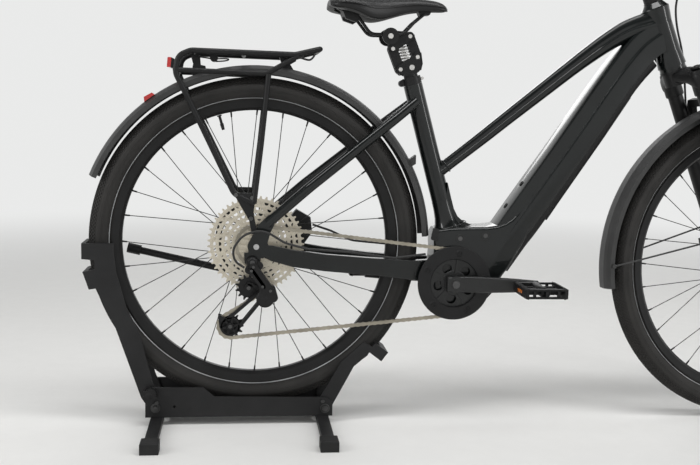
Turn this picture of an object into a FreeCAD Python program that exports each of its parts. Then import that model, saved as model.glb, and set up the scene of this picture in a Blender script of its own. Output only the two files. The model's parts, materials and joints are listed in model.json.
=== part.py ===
"""Mid-motor trekking bicycle with its rear wheel held in a floor stand.

+X points to the bicycle's front, +Y to its left side, +Z up, and z = 0 is the floor.
Bicycle places are given along X from the rear axle and along Z from the floor, and
REAR_AXLE_X moves them so that the whole object is centred on x = 0.
"""
import FreeCAD
import Part
import math
import os

# Whole bicycle, mm
REAR_AXLE_X = -581.0
LIFT = 39.7                      # the stand holds the rear tyre this far above the floor
WHEEL_R = 361.0                  # 50-622 tyre
WHEELBASE = 1173.0
REAR_AXLE = (0.0, WHEEL_R + LIFT)
FRONT_AXLE = (WHEELBASE, WHEEL_R)
CRANK = (438.0, 320.0)
HEAD_LOW = (936.0, 812.0)        # lower end of the head tube on the steering axis
HEAD_LENGTH = 135.0
STEER_TILT = 21.3                # degrees from vertical
STEER_REST = 3.8                 # degrees that the bars are turned to the left
CLEARANCE = 0.05                 # radial clearance of every running fit

# Wheels
TYRE_SECTION_R = 25.0
TYRE_WALL = 3.5
RIM_INNER_R = 289.6
RIM_OUTER_R = 311.0
SPOKES = 32
SPOKE_R = 0.9
FLANGE_R = 30.0
ROTOR_R = 90.0
FENDER_INNER_R = 367.5
FENDER_OUTER_R = 386.0
FENDER_HALF_WIDTH = 31.0
FENDER_WALL = 2.5

# Drive
CHAIN_Y = -50.0                  # plane of the chain line
CHAIN_PITCH = 12.7
RING_TEETH = 36
COG_TEETH = (10, 12, 14, 16, 18, 21, 24, 28, 33, 39, 45, 51)
COG_IN_USE = 5
COG_SPACING = 3.6
JOCKEY_TEETH = 13
CRANK_LENGTH = 170.0
JOCKEY_TOP = (-15.0, 308.0)
JOCKEY_LOW = (-54.0, 223.0)
CAGE_PIVOT = (20.0, 291.0)
HANGER = (-8.0, 369.0)

# Seat
SEAT_LOW = (458.0, 342.0)
SEAT_TOP = (341.3, 754.3)
SEAT_TUBE_R = 21.0
COLLAR_HEIGHT = 17.0
POST_R = 15.4
POST_BELOW, POST_ABOVE = 196.0, 26.0   # post length inside and outside the seat tube
LINK_REAR = ((311.0, 786.0), (293.0, 830.0))
LINK_FRONT = ((348.0, 814.0), (330.0, 858.0))
LINK_PIN_R = 4.0
LINK_HALF = 8.0
SPRING_ENDS = ((329.0, 801.0), (312.0, 843.0))
CLAMP_DISC_R = 18.0
RAIL_R = 3.4
RAIL_ROUTE = ((186.0, 908.0, 26.0), (212.0, 897.0, 25.0), (242.0, 859.5, 22.3),
              (312.0, 859.5, 22.3), (336.0, 886.0, 16.0), (362.0, 908.0, 10.0))
RAIL_BEND = 22.0
RAIL_BRIDGE = (361.0, 907.0)
# Saddle sections: x, middle height, width, depth
SADDLE = ((152, 922, 128, 34), (172, 924, 142, 44), (205, 917, 146, 56), (245, 904, 114, 76),
          (290, 913, 78, 56), (345, 921, 54, 38), (385, 921, 44, 35), (402, 919, 36, 28), (413, 917, 22, 14))

# Fork
LEG_Y = 65.0
STANCHION_R = 17.0
LEG_R = 21.0
LEG_OFFSET = 20.0
CROWN_LOW = -50.0
STANCHION_LOW = -250.0
LOWERS_TOP = -150.0

# Kickstand
KICK_PIVOT = (10.0, 306.0)
KICK_AXIS = FreeCAD.Vector(-0.285, 1, 0).normalize()

# Stand
FOOT_X = (-212.0, 152.0)
FOOT_REACH = 232.0
PLATE_Y = (41.0, 45.0)
ARM_Y = (36.0, 40.0)
ARM_PIVOT = (-215.0, 38.0)
KNOB = (-226.0, 72.0)
FRONT_BOLT = (157.0, 34.0)

Y_AXIS = FreeCAD.Vector(0, 1, 0)
UP = FreeCAD.Vector(0, 0, 1)


def pt(x, z, y=0.0):
    """Point from a bicycle place: x from the rear axle, z from the floor."""
    return FreeCAD.Vector(x + REAR_AXLE_X, y, z)


TILT = math.radians(STEER_TILT)
STEER_UP = FreeCAD.Vector(-math.sin(TILT), 0, math.cos(TILT))
STEER_FORWARD = FreeCAD.Vector(math.cos(TILT), 0, math.sin(TILT))
HEAD_POINT = pt(*HEAD_LOW)
AXLE_DROP = (pt(*FRONT_AXLE) - HEAD_POINT).dot(STEER_UP)
AXLE_OFFSET = (pt(*FRONT_AXLE) - HEAD_POINT).dot(STEER_FORWARD)


def on_steer(along, forward=0.0, y=0.0):
    """Point beside the steering axis, measured up it from the head tube's lower end."""
    return HEAD_POINT + STEER_UP * along + STEER_FORWARD * forward + Y_AXIS * y


def turned(shape):
    """A front-end shape, turned to the rest position of the steering."""
    copy = shape.copy()
    copy.rotate(HEAD_POINT, STEER_UP, STEER_REST)
    return copy


def fuse(shapes):
    first = shapes[0]
    return first.multiFuse(shapes[1:]).removeSplitter() if len(shapes) > 1 else first


def rod(start, end, radius):
    return Part.makeCylinder(radius, (end - start).Length, start, end - start)


def pipe(start, end, radius, wall):
    return rod(start, end, radius).cut(rod(start, end, radius - wall))


def cross_pin(place, y0, y1, radius):
    """A cylinder along Y."""
    return rod(pt(*place, y0), pt(*place, y1), radius)


def plate(outline, y0, y1):
    """A flat plate in a plane of constant y."""
    points = [pt(x, z, y0) for x, z in outline]
    face = Part.Face(Part.makePolygon(points + points[:1]))
    return face.extrude(Y_AXIS * (y1 - y0))


def both_sides(outline, y0, y1):
    return [plate(outline, y0, y1), plate(outline, -y1, -y0)]


def turning(place, profile, angle=360.0, start=0.0):
    """Solid of revolution about the Y line at a place, from (radius, y) points."""
    centre = pt(*place)
    points = [centre + FreeCAD.Vector(r, y, 0) for r, y in profile]
    face = Part.Face(Part.makePolygon(points + points[:1]))
    shape = face.revolve(centre, Y_AXIS, -angle)
    shape.rotate(centre, Y_AXIS, -start)
    return shape


def disc(place, radius, y0, y1, bore=0.0):
    if bore:
        return turning(place, [(bore, y0), (radius, y0), (radius, y1), (bore, y1)])
    return cross_pin(place, y0, y1, radius)


def around(place, radius, degrees):
    """Place at an angle on a circle, counted up from +X."""
    angle = math.radians(degrees)
    return (place[0] + radius * math.cos(angle), place[1] + radius * math.sin(angle))


def bent_rod(points, radius, bend):
    """A round rod along straight runs joined by tangent arcs."""
    edges = []
    last = points[0]
    for before, corner, after in zip(points, points[1:], points[2:]):
        back = (before - corner).normalize()
        ahead = (after - corner).normalize()
        turn = math.pi - back.getAngle(ahead)
        room = 0.45 * min((before - corner).Length, (after - corner).Length)
        size = min(bend, room / math.tan(turn / 2))
        reach = size * math.tan(turn / 2)
        bisector = (back + ahead).normalize()
        centre = corner + bisector * (size / math.cos(turn / 2))
        start = corner + back * reach
        end = corner + ahead * reach
        edges.append(Part.LineSegment(last, start).toShape())
        edges.append(Part.Arc(start, centre - bisector * size, end).toShape())
        last = end
    edges.append(Part.LineSegment(last, points[-1]).toShape())
    ring = Part.Wire(Part.makeCircle(radius, points[0], points[1] - points[0]))
    return Part.Wire(edges).makePipeShell([ring], True, False)


def section(centre, along, width, depth, corner):
    """Rounded rectangle across a direction in the bicycle's middle plane."""
    up = along.cross(Y_AXIS).normalize()
    w, d = width / 2 - corner, depth / 2 - corner
    edges = []
    signs = ((1, 1), (-1, 1), (-1, -1), (1, -1))
    corners = [centre + Y_AXIS * (sy * w) + up * (su * d) for sy, su in signs]
    starts = (Y_AXIS, up, Y_AXIS * -1, up * -1)
    ends = (up, Y_AXIS * -1, up * -1, Y_AXIS)
    for index in range(4):
        middle = (starts[index] + ends[index]).normalize()
        first = corners[index] + starts[index] * corner
        last = corners[index] + ends[index] * corner
        edges.append(Part.Arc(first, corners[index] + middle * corner, last).toShape())
        following = corners[(index + 1) % 4] + starts[(index + 1) % 4] * corner
        edges.append(Part.LineSegment(last, following).toShape())
    return Part.Wire(edges)


def lofted(stations, shrink=0.0):
    """Tube through stations of (x, z, direction in degrees, width, depth, corner)."""
    wires = []
    for x, z, degrees, width, depth, corner in stations:
        angle = math.radians(degrees)
        along = FreeCAD.Vector(math.cos(angle), 0, math.sin(angle))
        wires.append(section(pt(x, z), along, width - 2 * shrink, depth - 2 * shrink, corner - shrink))
    return Part.makeLoft(wires, True, True)


# --- stand ---------------------------------------------------------------------------

def make_stand_base():
    side = [(-237, 17), (-237, 70), (-228, 84), (-112, 84), (-87, 63), (160, 59), (174, 48), (174, 17)]
    parts = both_sides(side, *PLATE_Y)
    parts.append(plate([(-190, 17), (-190, 20), (134, 20), (134, 17)], -PLATE_Y[0], PLATE_Y[0]))
    rest_r = WHEEL_R + 6.5
    for x in (-70.0, 70.0):
        z = REAR_AXLE[1] - math.sqrt(rest_r ** 2 - x ** 2)
        parts.append(cross_pin((x, z), -PLATE_Y[0], PLATE_Y[0], 6.0))
        parts.append(plate([(x - 8, 20), (x + 8, 20), (x + 3, z), (x - 3, z)], -30, 30))
    parts.append(cross_pin(ARM_PIVOT, -49, 49, 6.0))
    base = fuse(parts)
    knob_hole = cross_pin(KNOB, -PLATE_Y[1] - 1, -PLATE_Y[0] + 1, 4.0 + CLEARANCE)
    spare_hole = cross_pin((-174.0, 41.0), -PLATE_Y[1] - 1, -PLATE_Y[0] + 1, 3.0)
    arm_hole = cross_pin(FRONT_BOLT, -PLATE_Y[1] - 1, PLATE_Y[1] + 1, 4.0)
    return base.cut(knob_hole).cut(spare_hole).cut(arm_hole)


def make_stand_feet():
    feet = []
    for x in FOOT_X:
        corner = pt(x - 13, 3, -FOOT_REACH)
        outer = Part.makeBox(26, 2 * FOOT_REACH, 14, corner)
        inner = Part.makeBox(22, 2 * FOOT_REACH, 10, corner + FreeCAD.Vector(2, 0, 2))
        feet.append(outer.cut(inner))
    return Part.makeCompound(feet)


def make_foot_caps():
    caps = []
    for x in FOOT_X:
        for side in (-1, 1):
            y0 = 236.0 if side > 0 else -236.0
            box = Part.makeBox(38, 38, 24, pt(x - 19, 0, min(y0, y0 - side * 38)))
            box = box.makeFillet(4.0, [e for e in box.Edges if abs(e.CenterOfMass.z - 24) < 0.1])
            socket = Part.makeBox(26, 2 * FOOT_REACH, 14, pt(x - 13, 3, -FOOT_REACH))
            caps.append(box.cut(socket))
    return Part.makeCompound(caps)


def cradle_block(outline):
    """A bracket around the back of the tyre, hollowed so that the tyre turns free."""
    block = plate(outline, -ARM_Y[1], ARM_Y[1])
    return block.cut(disc(REAR_AXLE, WHEEL_R + 2.0, -31, 31))


def make_front_arm():
    side = [(148, 24), (144, 50), (150, 64), (192, 138), (242, 184), (262, 172), (250, 152),
            (222, 131), (208, 104), (174, 40), (166, 24)]
    parts = both_sides(side, *ARM_Y)
    parts.append(cradle_block([(268, 181), (297, 159), (282, 139), (253, 161)]))
    arm = fuse(parts)
    for y in (-PLATE_Y[1] - 3, PLATE_Y[1]):
        bolt = cross_pin(FRONT_BOLT, y, y + 3, 8.0)
        arm = arm.fuse(bolt)
    return fuse([arm, cross_pin(FRONT_BOLT, -PLATE_Y[1], PLATE_Y[1], 4.0)])


def make_rear_arm():
    side = [(-231, 38), (-246, 60), (-302, 221), (-326, 267), (-343, 305), (-345, 400), (-304, 400),
            (-304, 381), (-298, 336), (-277, 261), (-248, 201), (-223, 98), (-199, 38)]
    parts = both_sides(side, *ARM_Y)
    for y0, y1 in (ARM_Y, (-ARM_Y[1], -ARM_Y[0])):
        parts.append(cross_pin(ARM_PIVOT, y0, y1, 16.0))
    parts.append(cradle_block([(-371, 400), (-304, 400), (-304, 360), (-371, 366)]))
    parts.append(cradle_block([(-369, 338), (-340, 345), (-330, 304), (-356, 300)]))
    return fuse(parts).cut(cross_pin(ARM_PIVOT, -50, 50, 6.0 + CLEARANCE))


def make_knob():
    knob = cross_pin(KNOB, -66, -46, 15.0)
    notches = [cross_pin(around(KNOB, 18.0, 60 * n), -67, -52, 5.0) for n in range(6)]
    return fuse([knob.cut(fuse(notches)), cross_pin(KNOB, -47, -41, 4.0)])


# --- frame ---------------------------------------------------------------------------

def make_head_tube():
    low, top = -12.0, HEAD_LENGTH + 14.0
    profile = [(low, 29), (0, 29), (0, 31.5), (18, 30), (34, 28), (100, 28), (118, 30),
               (HEAD_LENGTH, 31.5), (HEAD_LENGTH + 2, 29), (top, 20)]
    bore = [(top, 14.3 + CLEARANCE), (118, 14.3 + CLEARANCE), (118, 24), (14, 24),
            (14, 14.3 + CLEARANCE), (low, 14.3 + CLEARANCE)]
    points = [on_steer(s, r) for s, r in profile + bore]
    face = Part.Face(Part.makePolygon(points + points[:1]))
    return face.revolve(HEAD_POINT, STEER_UP, 360)


def head_core():
    return rod(on_steer(-20), on_steer(160), 27.5)


TOP_TUBE = [(385, 547, 38.6, 34, 28, 13), (432.6, 585.5, 38.6, 34, 28, 13), (564, 691, 38.6, 36, 31, 14),
            (696, 797, 38.6, 40, 35, 16), (768, 854, 38, 44, 40, 17), (830, 884, 28, 48, 48, 18),
            (893, 906, 15, 48, 58, 18)]
DOWN_TUBE = [(548, 392, 62, 84, 92, 16), (595, 455, 56, 85, 90, 18), (640, 522, 56, 85, 88, 20),
             (738, 668, 56, 82, 88, 22), (811, 778, 56, 74, 86, 22), (860, 838, 50, 60, 90, 22),
             (918, 880, 30, 50, 92, 20)]
BATTERY_LINE = (56.0, 62.0)      # the battery's slope in degrees and its width


def make_seat_tube():
    gusset = plate([(424, 540), (433, 506), (440, 482), (449, 465), (462, 454), (482, 446), (440, 440),
                    (420, 480)], -17, 17)
    outer = fuse([rod(pt(*SEAT_LOW), pt(*SEAT_TOP), SEAT_TUBE_R), gusset])
    bore = rod(pt(*SEAT_LOW), pt(*SEAT_TOP), POST_R + CLEARANCE)
    return outer.cut(bore).cut(motor_block())


def seat_core():
    return rod(pt(*SEAT_LOW), pt(*SEAT_TOP), SEAT_TUBE_R)


def make_top_tube():
    tube = lofted(TOP_TUBE).cut(lofted(TOP_TUBE, 2.5))
    return largest(tube.cut(head_core().fuse(make_head_tube())).cut(seat_core()))


def battery_space(grow=0.0):
    """The battery bay: open along the underside of the down tube."""
    angle = math.radians(BATTERY_LINE[0])
    along = FreeCAD.Vector(math.cos(angle), 0, math.sin(angle))
    half = BATTERY_LINE[1] / 2 + grow
    under = FreeCAD.Vector(math.sin(angle), 0, -math.cos(angle))
    start = pt(607.0, 473.0) - along * grow
    end = pt(800.0, 759.0) + along * grow
    relief = 0.0 if grow else 17.0
    corners = [start - under * (24 + grow), start + under * 60 + along * relief, end + under * 60,
               end - under * (24 + grow)]
    face = Part.Face(Part.makePolygon([c - Y_AXIS * half for c in corners + corners[:1]]))
    return face.extrude(Y_AXIS * (2 * half))


def make_down_tube():
    outer = lofted(DOWN_TUBE)
    hollow = outer.cut(lofted(DOWN_TUBE, 3.0))
    lined = hollow.fuse(outer.common(battery_space(3.5)))
    opened = lined.cut(battery_space(0.6))
    head = make_head_tube().fuse(head_core())
    return largest(opened.cut(head).cut(lofted(TOP_TUBE)).cut(motor_block()))


def make_battery():
    """Battery with its cover, which fills the open underside of the down tube."""
    return largest(battery_space().common(lofted(DOWN_TUBE)))


def largest(shape):
    return max(shape.Solids, key=lambda solid: solid.Volume)


MOTOR_OUTLINE = [(380, 438), (434, 443), (534, 446), (560, 462), (606, 421), (576, 374), (552, 334),
                 (520, 285), (480, 252), (430, 240), (385, 252), (372, 290), (372, 400)]
MOTOR_HALF_WIDTH = 44.0
MOTOR_CORE = ((472.0, 336.0), 70.0)


def motor_block():
    block = plate(MOTOR_OUTLINE, -MOTOR_HALF_WIDTH, MOTOR_HALF_WIDTH)
    return block.cut(disc(REAR_AXLE, FENDER_OUTER_R + 5.0, -60, 60))


def make_motor_housing():
    shell = motor_block()
    cavity = disc(MOTOR_CORE[0], MOTOR_CORE[1] + 1.0, -40, 40)
    axle_bore = cross_pin(CRANK, -60, 60, 12.0 + CLEARANCE)
    collar = disc(CRANK, 30.0, -46, 46)
    return shell.fuse(collar).cut(cavity).cut(axle_bore)


def make_drive_unit():
    unit = disc(*MOTOR_CORE, -39, 39)
    return unit.cut(cross_pin(CRANK, -50, 50, 12.0 + CLEARANCE))


DROPOUT_Y = (74.0, 80.0)
STAY_Y = 77.0
STAY_R = 11.0
HANGER_PLATE = [(-26, 388), (12, 388), (8, 358), (-14, 354), (-24, 366)]


def make_rear_triangle():
    """Chain stays, seat stays and dropouts, welded in one piece."""
    parts = []
    for side in (-1, 1):
        y0, y1 = sorted((side * DROPOUT_Y[0], side * DROPOUT_Y[1]))
        outline = [(-16, 384), (-18, 405), (-9, 424), (4, 448), (26, 470), (44, 462), (30, 432),
                   (24, 410), (30, 386), (14, 376)]
        parts.append(plate(outline, y0, y1))
        stay = [pt(22, 450, side * STAY_Y), pt(110, 527, side * 72), pt(290, 672, side * 46),
                pt(346, 717, side * 24)]
        parts.append(bent_rod(stay, STAY_R, 200.0))
        parts.append(chain_stay(side))
    parts.append(plate(HANGER_PLATE, -DROPOUT_Y[1], -DROPOUT_Y[0]))
    bridge = rod(pt(326, 701, -28), pt(326, 701, 28), 7.0)
    triangle = fuse(parts + [bridge, make_kickstand_mount()])
    axle = cross_pin(REAR_AXLE, -90, 90, 6.0 + CLEARANCE)
    hanger_hole = cross_pin(HANGER, -DROPOUT_Y[1] - 1, -DROPOUT_Y[0] + 1, 5.0)
    return triangle.cut(axle).cut(hanger_hole).cut(motor_block()).cut(seat_core())


def chain_stay(side):
    wires = []
    stations = ((8, 394, 77, 5.8, 24), (34, 387, 77, 5.8, 34), (80, 376, 75, 12, 37), (150, 366, 66, 16, 37),
                (250, 356, 48, 20, 38), (352, 346, 33, 20, 44), (420, 342, 30, 22, 60))
    for x, z, y, width, depth in stations:
        along = FreeCAD.Vector(1, 0, -0.1)
        wires.append(section(pt(x, z, side * y), along.normalize(), width, depth, 2.4))
    return Part.makeLoft(wires, True, True)


def make_seat_collar():
    axis = (pt(*SEAT_TOP) - pt(*SEAT_LOW)).normalize()
    top = pt(*SEAT_TOP)
    outer_r = SEAT_TUBE_R - 0.5
    ring = pipe(top + axis * 0.3, top + axis * COLLAR_HEIGHT, outer_r, outer_r - POST_R - CLEARANCE)
    middle = top + axis * (COLLAR_HEIGHT / 2) + axis.cross(Y_AXIS).normalize() * (outer_r + 2.5)
    ear = rod(middle - Y_AXIS * 7, middle + Y_AXIS * 7, 7.5)
    return fuse([ring, ear.cut(rod(top, top + axis * 30, POST_R + 3))])


def fender(axle, start, end):
    """U-shaped fender shell between two angles, with rolled-in side lips."""
    inner, outer, half = FENDER_INNER_R, FENDER_OUTER_R, FENDER_HALF_WIDTH
    wall = FENDER_WALL
    outside = [(inner, half), (inner + 10, half), (outer - 3, half - 11), (outer, half - 20)]
    inside = [(outer - wall, half - 20), (outer - 3 - wall, half - 12.5), (inner + 9, half - wall),
              (inner, half - wall)]
    right = [(r, -y) for r, y in reversed(outside)]
    right_in = [(r, -y) for r, y in reversed(inside)]
    return turning(axle, outside + right + right_in + inside, end - start, start)


def make_rear_fender():
    shell = fender(REAR_AXLE, 3.0, 158.0)
    tab = plate([(322, 578), (352, 600), (352, 580), (330, 566)], -10, 10)
    outer_tab = tab.cut(disc(REAR_AXLE, FENDER_OUTER_R - 1.0, -40, 40))
    return largest(shell.fuse(outer_tab).cut(motor_block()))


def make_rear_lamp():
    return plate([(-201, 777), (-197, 799), (-187, 799), (-178.5, 775), (-181, 766)], -32, 32)


RACK_Y = 62.0
RACK_R = 6.0


def make_rack():
    """Bent-tube luggage rack with two side frames and cross bars."""
    parts = []
    for side in (-1, 1):
        y = side * RACK_Y
        main = [pt(-4, 492, side * 84), pt(-48, 514, side * 80), pt(-134, 689, y), pt(-172, 764, y),
                pt(-166, 800, y), pt(-140, 811, y), pt(78, 808, y), pt(131, 822, side * 50)]
        parts.append(bent_rod(main, RACK_R, 26.0))
        parts.append(bent_rod([pt(-172, 770, y), pt(18, 767, y), pt(84, 806, y)], RACK_R - 0.5, 30.0))
        parts.append(bent_rod([pt(22, 766, y), pt(8, 620, side * 68), pt(-6, 496, side * 84)], RACK_R, 80.0))
        foot = [(-50, 516), (-10, 516), (-4, 498), (-8, 462), (-16, 458)]
        y0, y1 = sorted((side * 80.5, side * 85.5))
        parts.append(plate(foot, y0, y1))
        parts.append(plate([(-18, 470), (-6, 470), (2, 432), (-10, 428)], y0, y1))
    cross_bars = ((131, 822, 50), (60, 808, RACK_Y), (-30, 810, RACK_Y), (-140, 811, RACK_Y),
                  (-172, 770, RACK_Y))
    for x, z, reach in cross_bars:
        parts.append(rod(pt(x, z, -reach), pt(x, z, reach), RACK_R - 0.5))
    return fuse(parts)


def make_rear_caliper():
    body = plate([(78, 392), (74, 448), (92, 470), (124, 452), (128, 418), (110, 392)], 46, 70)
    slot = disc(REAR_AXLE, ROTOR_R + 4, 55.5, 60.5)
    return largest(body.cut(slot).cut(make_rear_triangle()))


def make_rear_axle():
    shaft = cross_pin(REAR_AXLE, -DROPOUT_Y[1] - 1, DROPOUT_Y[1] + 1, 6.0)
    head = turning(REAR_AXLE, [(0.01, 81), (9, 81), (9, 86), (7, 88), (0.01, 88)])
    return fuse([shaft, head])


# --- chain ---------------------------------------------------------------------------

def pitch_radius(teeth):
    return CHAIN_PITCH / (2 * math.sin(math.pi / teeth))


COG_R = pitch_radius(COG_TEETH[COG_IN_USE])
RING_R = pitch_radius(RING_TEETH)
JOCKEY_R = pitch_radius(JOCKEY_TEETH)


def tangent(first, r1, second, r2, side1, side2):
    """Ends of the tangent line between two circles; a side is +1 left of the travel, -1 right."""
    dx, dz = second[0] - first[0], second[1] - first[1]
    length = math.hypot(dx, dz)
    offset = side1 * r1 - side2 * r2
    swing = math.asin(offset / length)
    angle = math.atan2(dz, dx) - swing
    nx, nz = -math.sin(angle), math.cos(angle)
    start = (first[0] + nx * side1 * r1, first[1] + nz * side1 * r1)
    end = (second[0] + nx * side2 * r2, second[1] + nz * side2 * r2)
    return start, end


def strap(start, end, y0, y1):
    """Straight run of chain side plates."""
    dx, dz = end[0] - start[0], end[1] - start[1]
    length = math.hypot(dx, dz)
    nx, nz = -dz / length * 4, dx / length * 4
    corners = [(start[0] + nx, start[1] + nz), (end[0] + nx, end[1] + nz),
               (end[0] - nx, end[1] - nz), (start[0] - nx, start[1] - nz)]
    return plate(corners, y0, y1)


def wrap(centre, radius, start, end, y0, y1, clockwise):
    """Arc of chain side plates from one place to another."""
    a0 = math.degrees(math.atan2(start[1] - centre[1], start[0] - centre[0]))
    a1 = math.degrees(math.atan2(end[1] - centre[1], end[0] - centre[0]))
    if clockwise:
        a0, a1 = a1, a0
    sweep = (a1 - a0) % 360
    profile = [(radius - 4, y0), (radius + 4, y0), (radius + 4, y1), (radius - 4, y1)]
    return turning(centre, profile, sweep, a0)


PLATE_SPANS = ((1.6, 2.5), (-2.5, -1.6))


def rollers(start, end, lead=34.0):
    """Pins across the two side plates on a free run."""
    length = math.hypot(end[0] - start[0], end[1] - start[1])
    count = int((length - 2 * lead) / CHAIN_PITCH)
    pins = []
    for index in range(count + 1):
        share = (lead + index * CHAIN_PITCH) / length
        place = (start[0] + (end[0] - start[0]) * share, start[1] + (end[1] - start[1]) * share)
        pins.append(cross_pin(place, CHAIN_Y - 2, CHAIN_Y + 2, 3.8))
    return pins


def chain_path():
    top = tangent(REAR_AXLE, COG_R, CRANK, RING_R, 1, 1)
    low = tangent(CRANK, RING_R, JOCKEY_LOW, JOCKEY_R, 1, 1)
    cross = tangent(JOCKEY_LOW, JOCKEY_R, JOCKEY_TOP, JOCKEY_R, 1, -1)
    back = tangent(JOCKEY_TOP, JOCKEY_R, REAR_AXLE, COG_R, -1, 1)
    return top, low, cross, back


def make_chain_upper():
    top, low, _, back = chain_path()
    parts = rollers(*top)
    for near, far in PLATE_SPANS:
        span = (CHAIN_Y + near, CHAIN_Y + far)
        parts.append(strap(*top, *span))
        parts.append(wrap(REAR_AXLE, COG_R, back[1], top[0], *span, True))
        parts.append(wrap(CRANK, RING_R, top[1], low[0], *span, True))
    return fuse(parts)


def make_chain_lower():
    _, low, cross, back = chain_path()
    parts = rollers(*low)
    for near, far in PLATE_SPANS:
        span = (CHAIN_Y + near, CHAIN_Y + far)
        parts.append(strap(*low, *span))
        parts.append(wrap(JOCKEY_LOW, JOCKEY_R, low[1], cross[0], *span, True))
        parts.append(strap(*cross, *span))
        parts.append(wrap(JOCKEY_TOP, JOCKEY_R, cross[1], back[0], *span, False))
        parts.append(strap(*back, *span))
    return fuse(parts)


def toothed(place, teeth, y0, y1, bore):
    """Sprocket with plain wedge teeth."""
    root, tip = pitch_radius(teeth) - 3.9, pitch_radius(teeth) + 2.6
    points = []
    step = 360.0 / teeth
    for index in range(teeth):
        for share, radius in ((-0.3, root), (-0.1, tip), (0.1, tip), (0.3, root)):
            points.append(around(place, radius, (index + share) * step))
    return plate(points, y0, y1).cut(disc(place, bore, y0 - 1, y1 + 1))


def make_cassette():
    parts = []
    for index, teeth in enumerate(COG_TEETH):
        y = CHAIN_Y + (index - COG_IN_USE) * COG_SPACING
        parts.append(toothed(REAR_AXLE, teeth, y - 0.8, y + 0.8, 14.5))
    first = CHAIN_Y - COG_IN_USE * COG_SPACING
    last = CHAIN_Y + (len(COG_TEETH) - 1 - COG_IN_USE) * COG_SPACING
    parts.append(disc(REAR_AXLE, 16.5, first, last, 14.0))
    return fuse(parts)


def make_chainring():
    ring = toothed(CRANK, RING_TEETH, CHAIN_Y - 0.8, CHAIN_Y + 0.8, 56.0)
    spider = disc(CRANK, 60.0, CHAIN_Y - 3.5, CHAIN_Y - 0.8, 12.0 + CLEARANCE)
    for n in range(5):
        spider = spider.cut(disc(around(CRANK, 36.0, 46 + 72 * n), 11.0, CHAIN_Y - 5, CHAIN_Y + 5))
    return fuse([ring, spider, disc(CRANK, 20.0, CHAIN_Y - 6, CHAIN_Y - 0.8, 12.0 + CLEARANCE)])


def make_chain_guard():
    guard = turning(CRANK, [(54, -58), (54, -54.4), (78, -54.4), (82.5, -55.5), (82.5, -57), (80, -58.5)])
    posts = [cross_pin(around(CRANK, 62.0, 10 + 72 * n), -54.6, -53.6, 6.0) for n in range(5)]
    bolts = [cross_pin(around(CRANK, 62.0, 10 + 72 * n), -60.5, -58, 5.0) for n in range(5)]
    return fuse([guard] + posts + bolts)


def crank_arm(side, direction):
    """Crank arm with its pedal axle, from the crank axle out along +X or -X."""
    wires = []
    stations = ((-0.11, 68, 16, 34, 6), (0.12, 69, 16, 37, 7), (0.3, 76, 14, 37, 6), (0.75, 84, 14, 31, 6),
                (1.07, 84, 14, 22, 6))
    for share, y, width, depth, corner in stations:
        place = pt(CRANK[0] + direction * share * CRANK_LENGTH, CRANK[1], side * y)
        wires.append(section(place, FreeCAD.Vector(1, 0, 0), width, depth, corner))
    arm = Part.makeLoft(wires, True, True)
    pedal = pedal_place(direction)
    y0, y1 = sorted((side * 84, side * 178))
    flange = sorted((side * 91, side * 94))
    return fuse([arm, cross_pin(pedal, y0, y1, 5.5), cross_pin(pedal, *flange, 9.0)])


def pedal_place(direction):
    return (CRANK[0] + direction * CRANK_LENGTH, CRANK[1])


def make_crank_right():
    arm = crank_arm(-1, 1)
    boss = cross_pin(CRANK, -76, -56.2, 18.0)
    return fuse([arm.cut(disc(CRANK, 12.0, -62, -50)), boss]).cut(cross_pin(CRANK, -70, -40, 12.0))


def make_crank_left():
    axle = cross_pin(CRANK, -70, 70, 12.0)
    return fuse([crank_arm(1, -1), axle, cross_pin(CRANK, 60, 76, 18.0)])


def block(place, before, after, half_height):
    """Rectangle round a place, from before it to after it along X."""
    x, z = place
    return [(x + before, z - half_height), (x + after, z - half_height), (x + after, z + half_height),
            (x + before, z + half_height)]


def make_pedal(side, direction):
    """Platform pedal body: a central sleeve in an open cage."""
    place = pedal_place(direction)
    parts = [cross_pin(place, *sorted((side * 95.5, side * 180)), 11.0)]
    for x in (-46, 38):
        parts.append(plate(block(place, x, x + 8, 12), *sorted((side * 100, side * 190))))
    for y in (100.0, 182.0):
        parts.append(plate(block(place, -46, 46, 10), *sorted((side * y, side * (y + 8)))))
    parts.append(plate(block(place, -46, 46, 4), *sorted((side * 136, side * 146))))
    return fuse(parts).cut(cross_pin(place, *sorted((side * 80, side * 178.2)), 5.5 + CLEARANCE))


# --- derailleur ------------------------------------------------------------------------

def make_derailleur_body():
    """Hanger knuckle, parallelogram and cage knuckle, standing outside the cage."""
    hanger = fuse([cross_pin(HANGER, -96, -80.2, 12.0), cross_pin(HANGER, -81, -74, 5.0)])
    arm = plate([(-16, 362), (0, 372), (38, 318), (40, 296), (18, 286), (2, 306)], -94, -84)
    outer = plate([(-10, 360), (2, 366), (34, 312), (12, 296)], -80.2 - 20, -92)
    knuckle = cross_pin(CAGE_PIVOT, -97, -66, 19.0)
    return fuse([hanger, arm, outer, knuckle]).cut(cross_pin(CAGE_PIVOT, -80, -60, 6.0 + CLEARANCE))


def cage_plate(y0, y1, wide):
    outline = []
    for place, radius, first, last in ((JOCKEY_TOP, wide, 90, 190), (JOCKEY_LOW, wide, 165, 330),
                                       (CAGE_PIVOT, 15, -50, 80)):
        for n in range(7):
            outline.append(around(place, radius, first + (last - first) * n / 6))
    return plate(outline, y0, y1)


def make_cage():
    outer = cage_plate(-59.5, -57.0, 12.0)
    inner = cage_plate(-43.0, -41.0, 12.0)
    pins = [cross_pin(place, -59, -41, 3.0) for place in (JOCKEY_TOP, JOCKEY_LOW)]
    pivot = cross_pin(CAGE_PIVOT, -79, -57, 6.0)
    return fuse([outer, inner, pivot] + pins)


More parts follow.
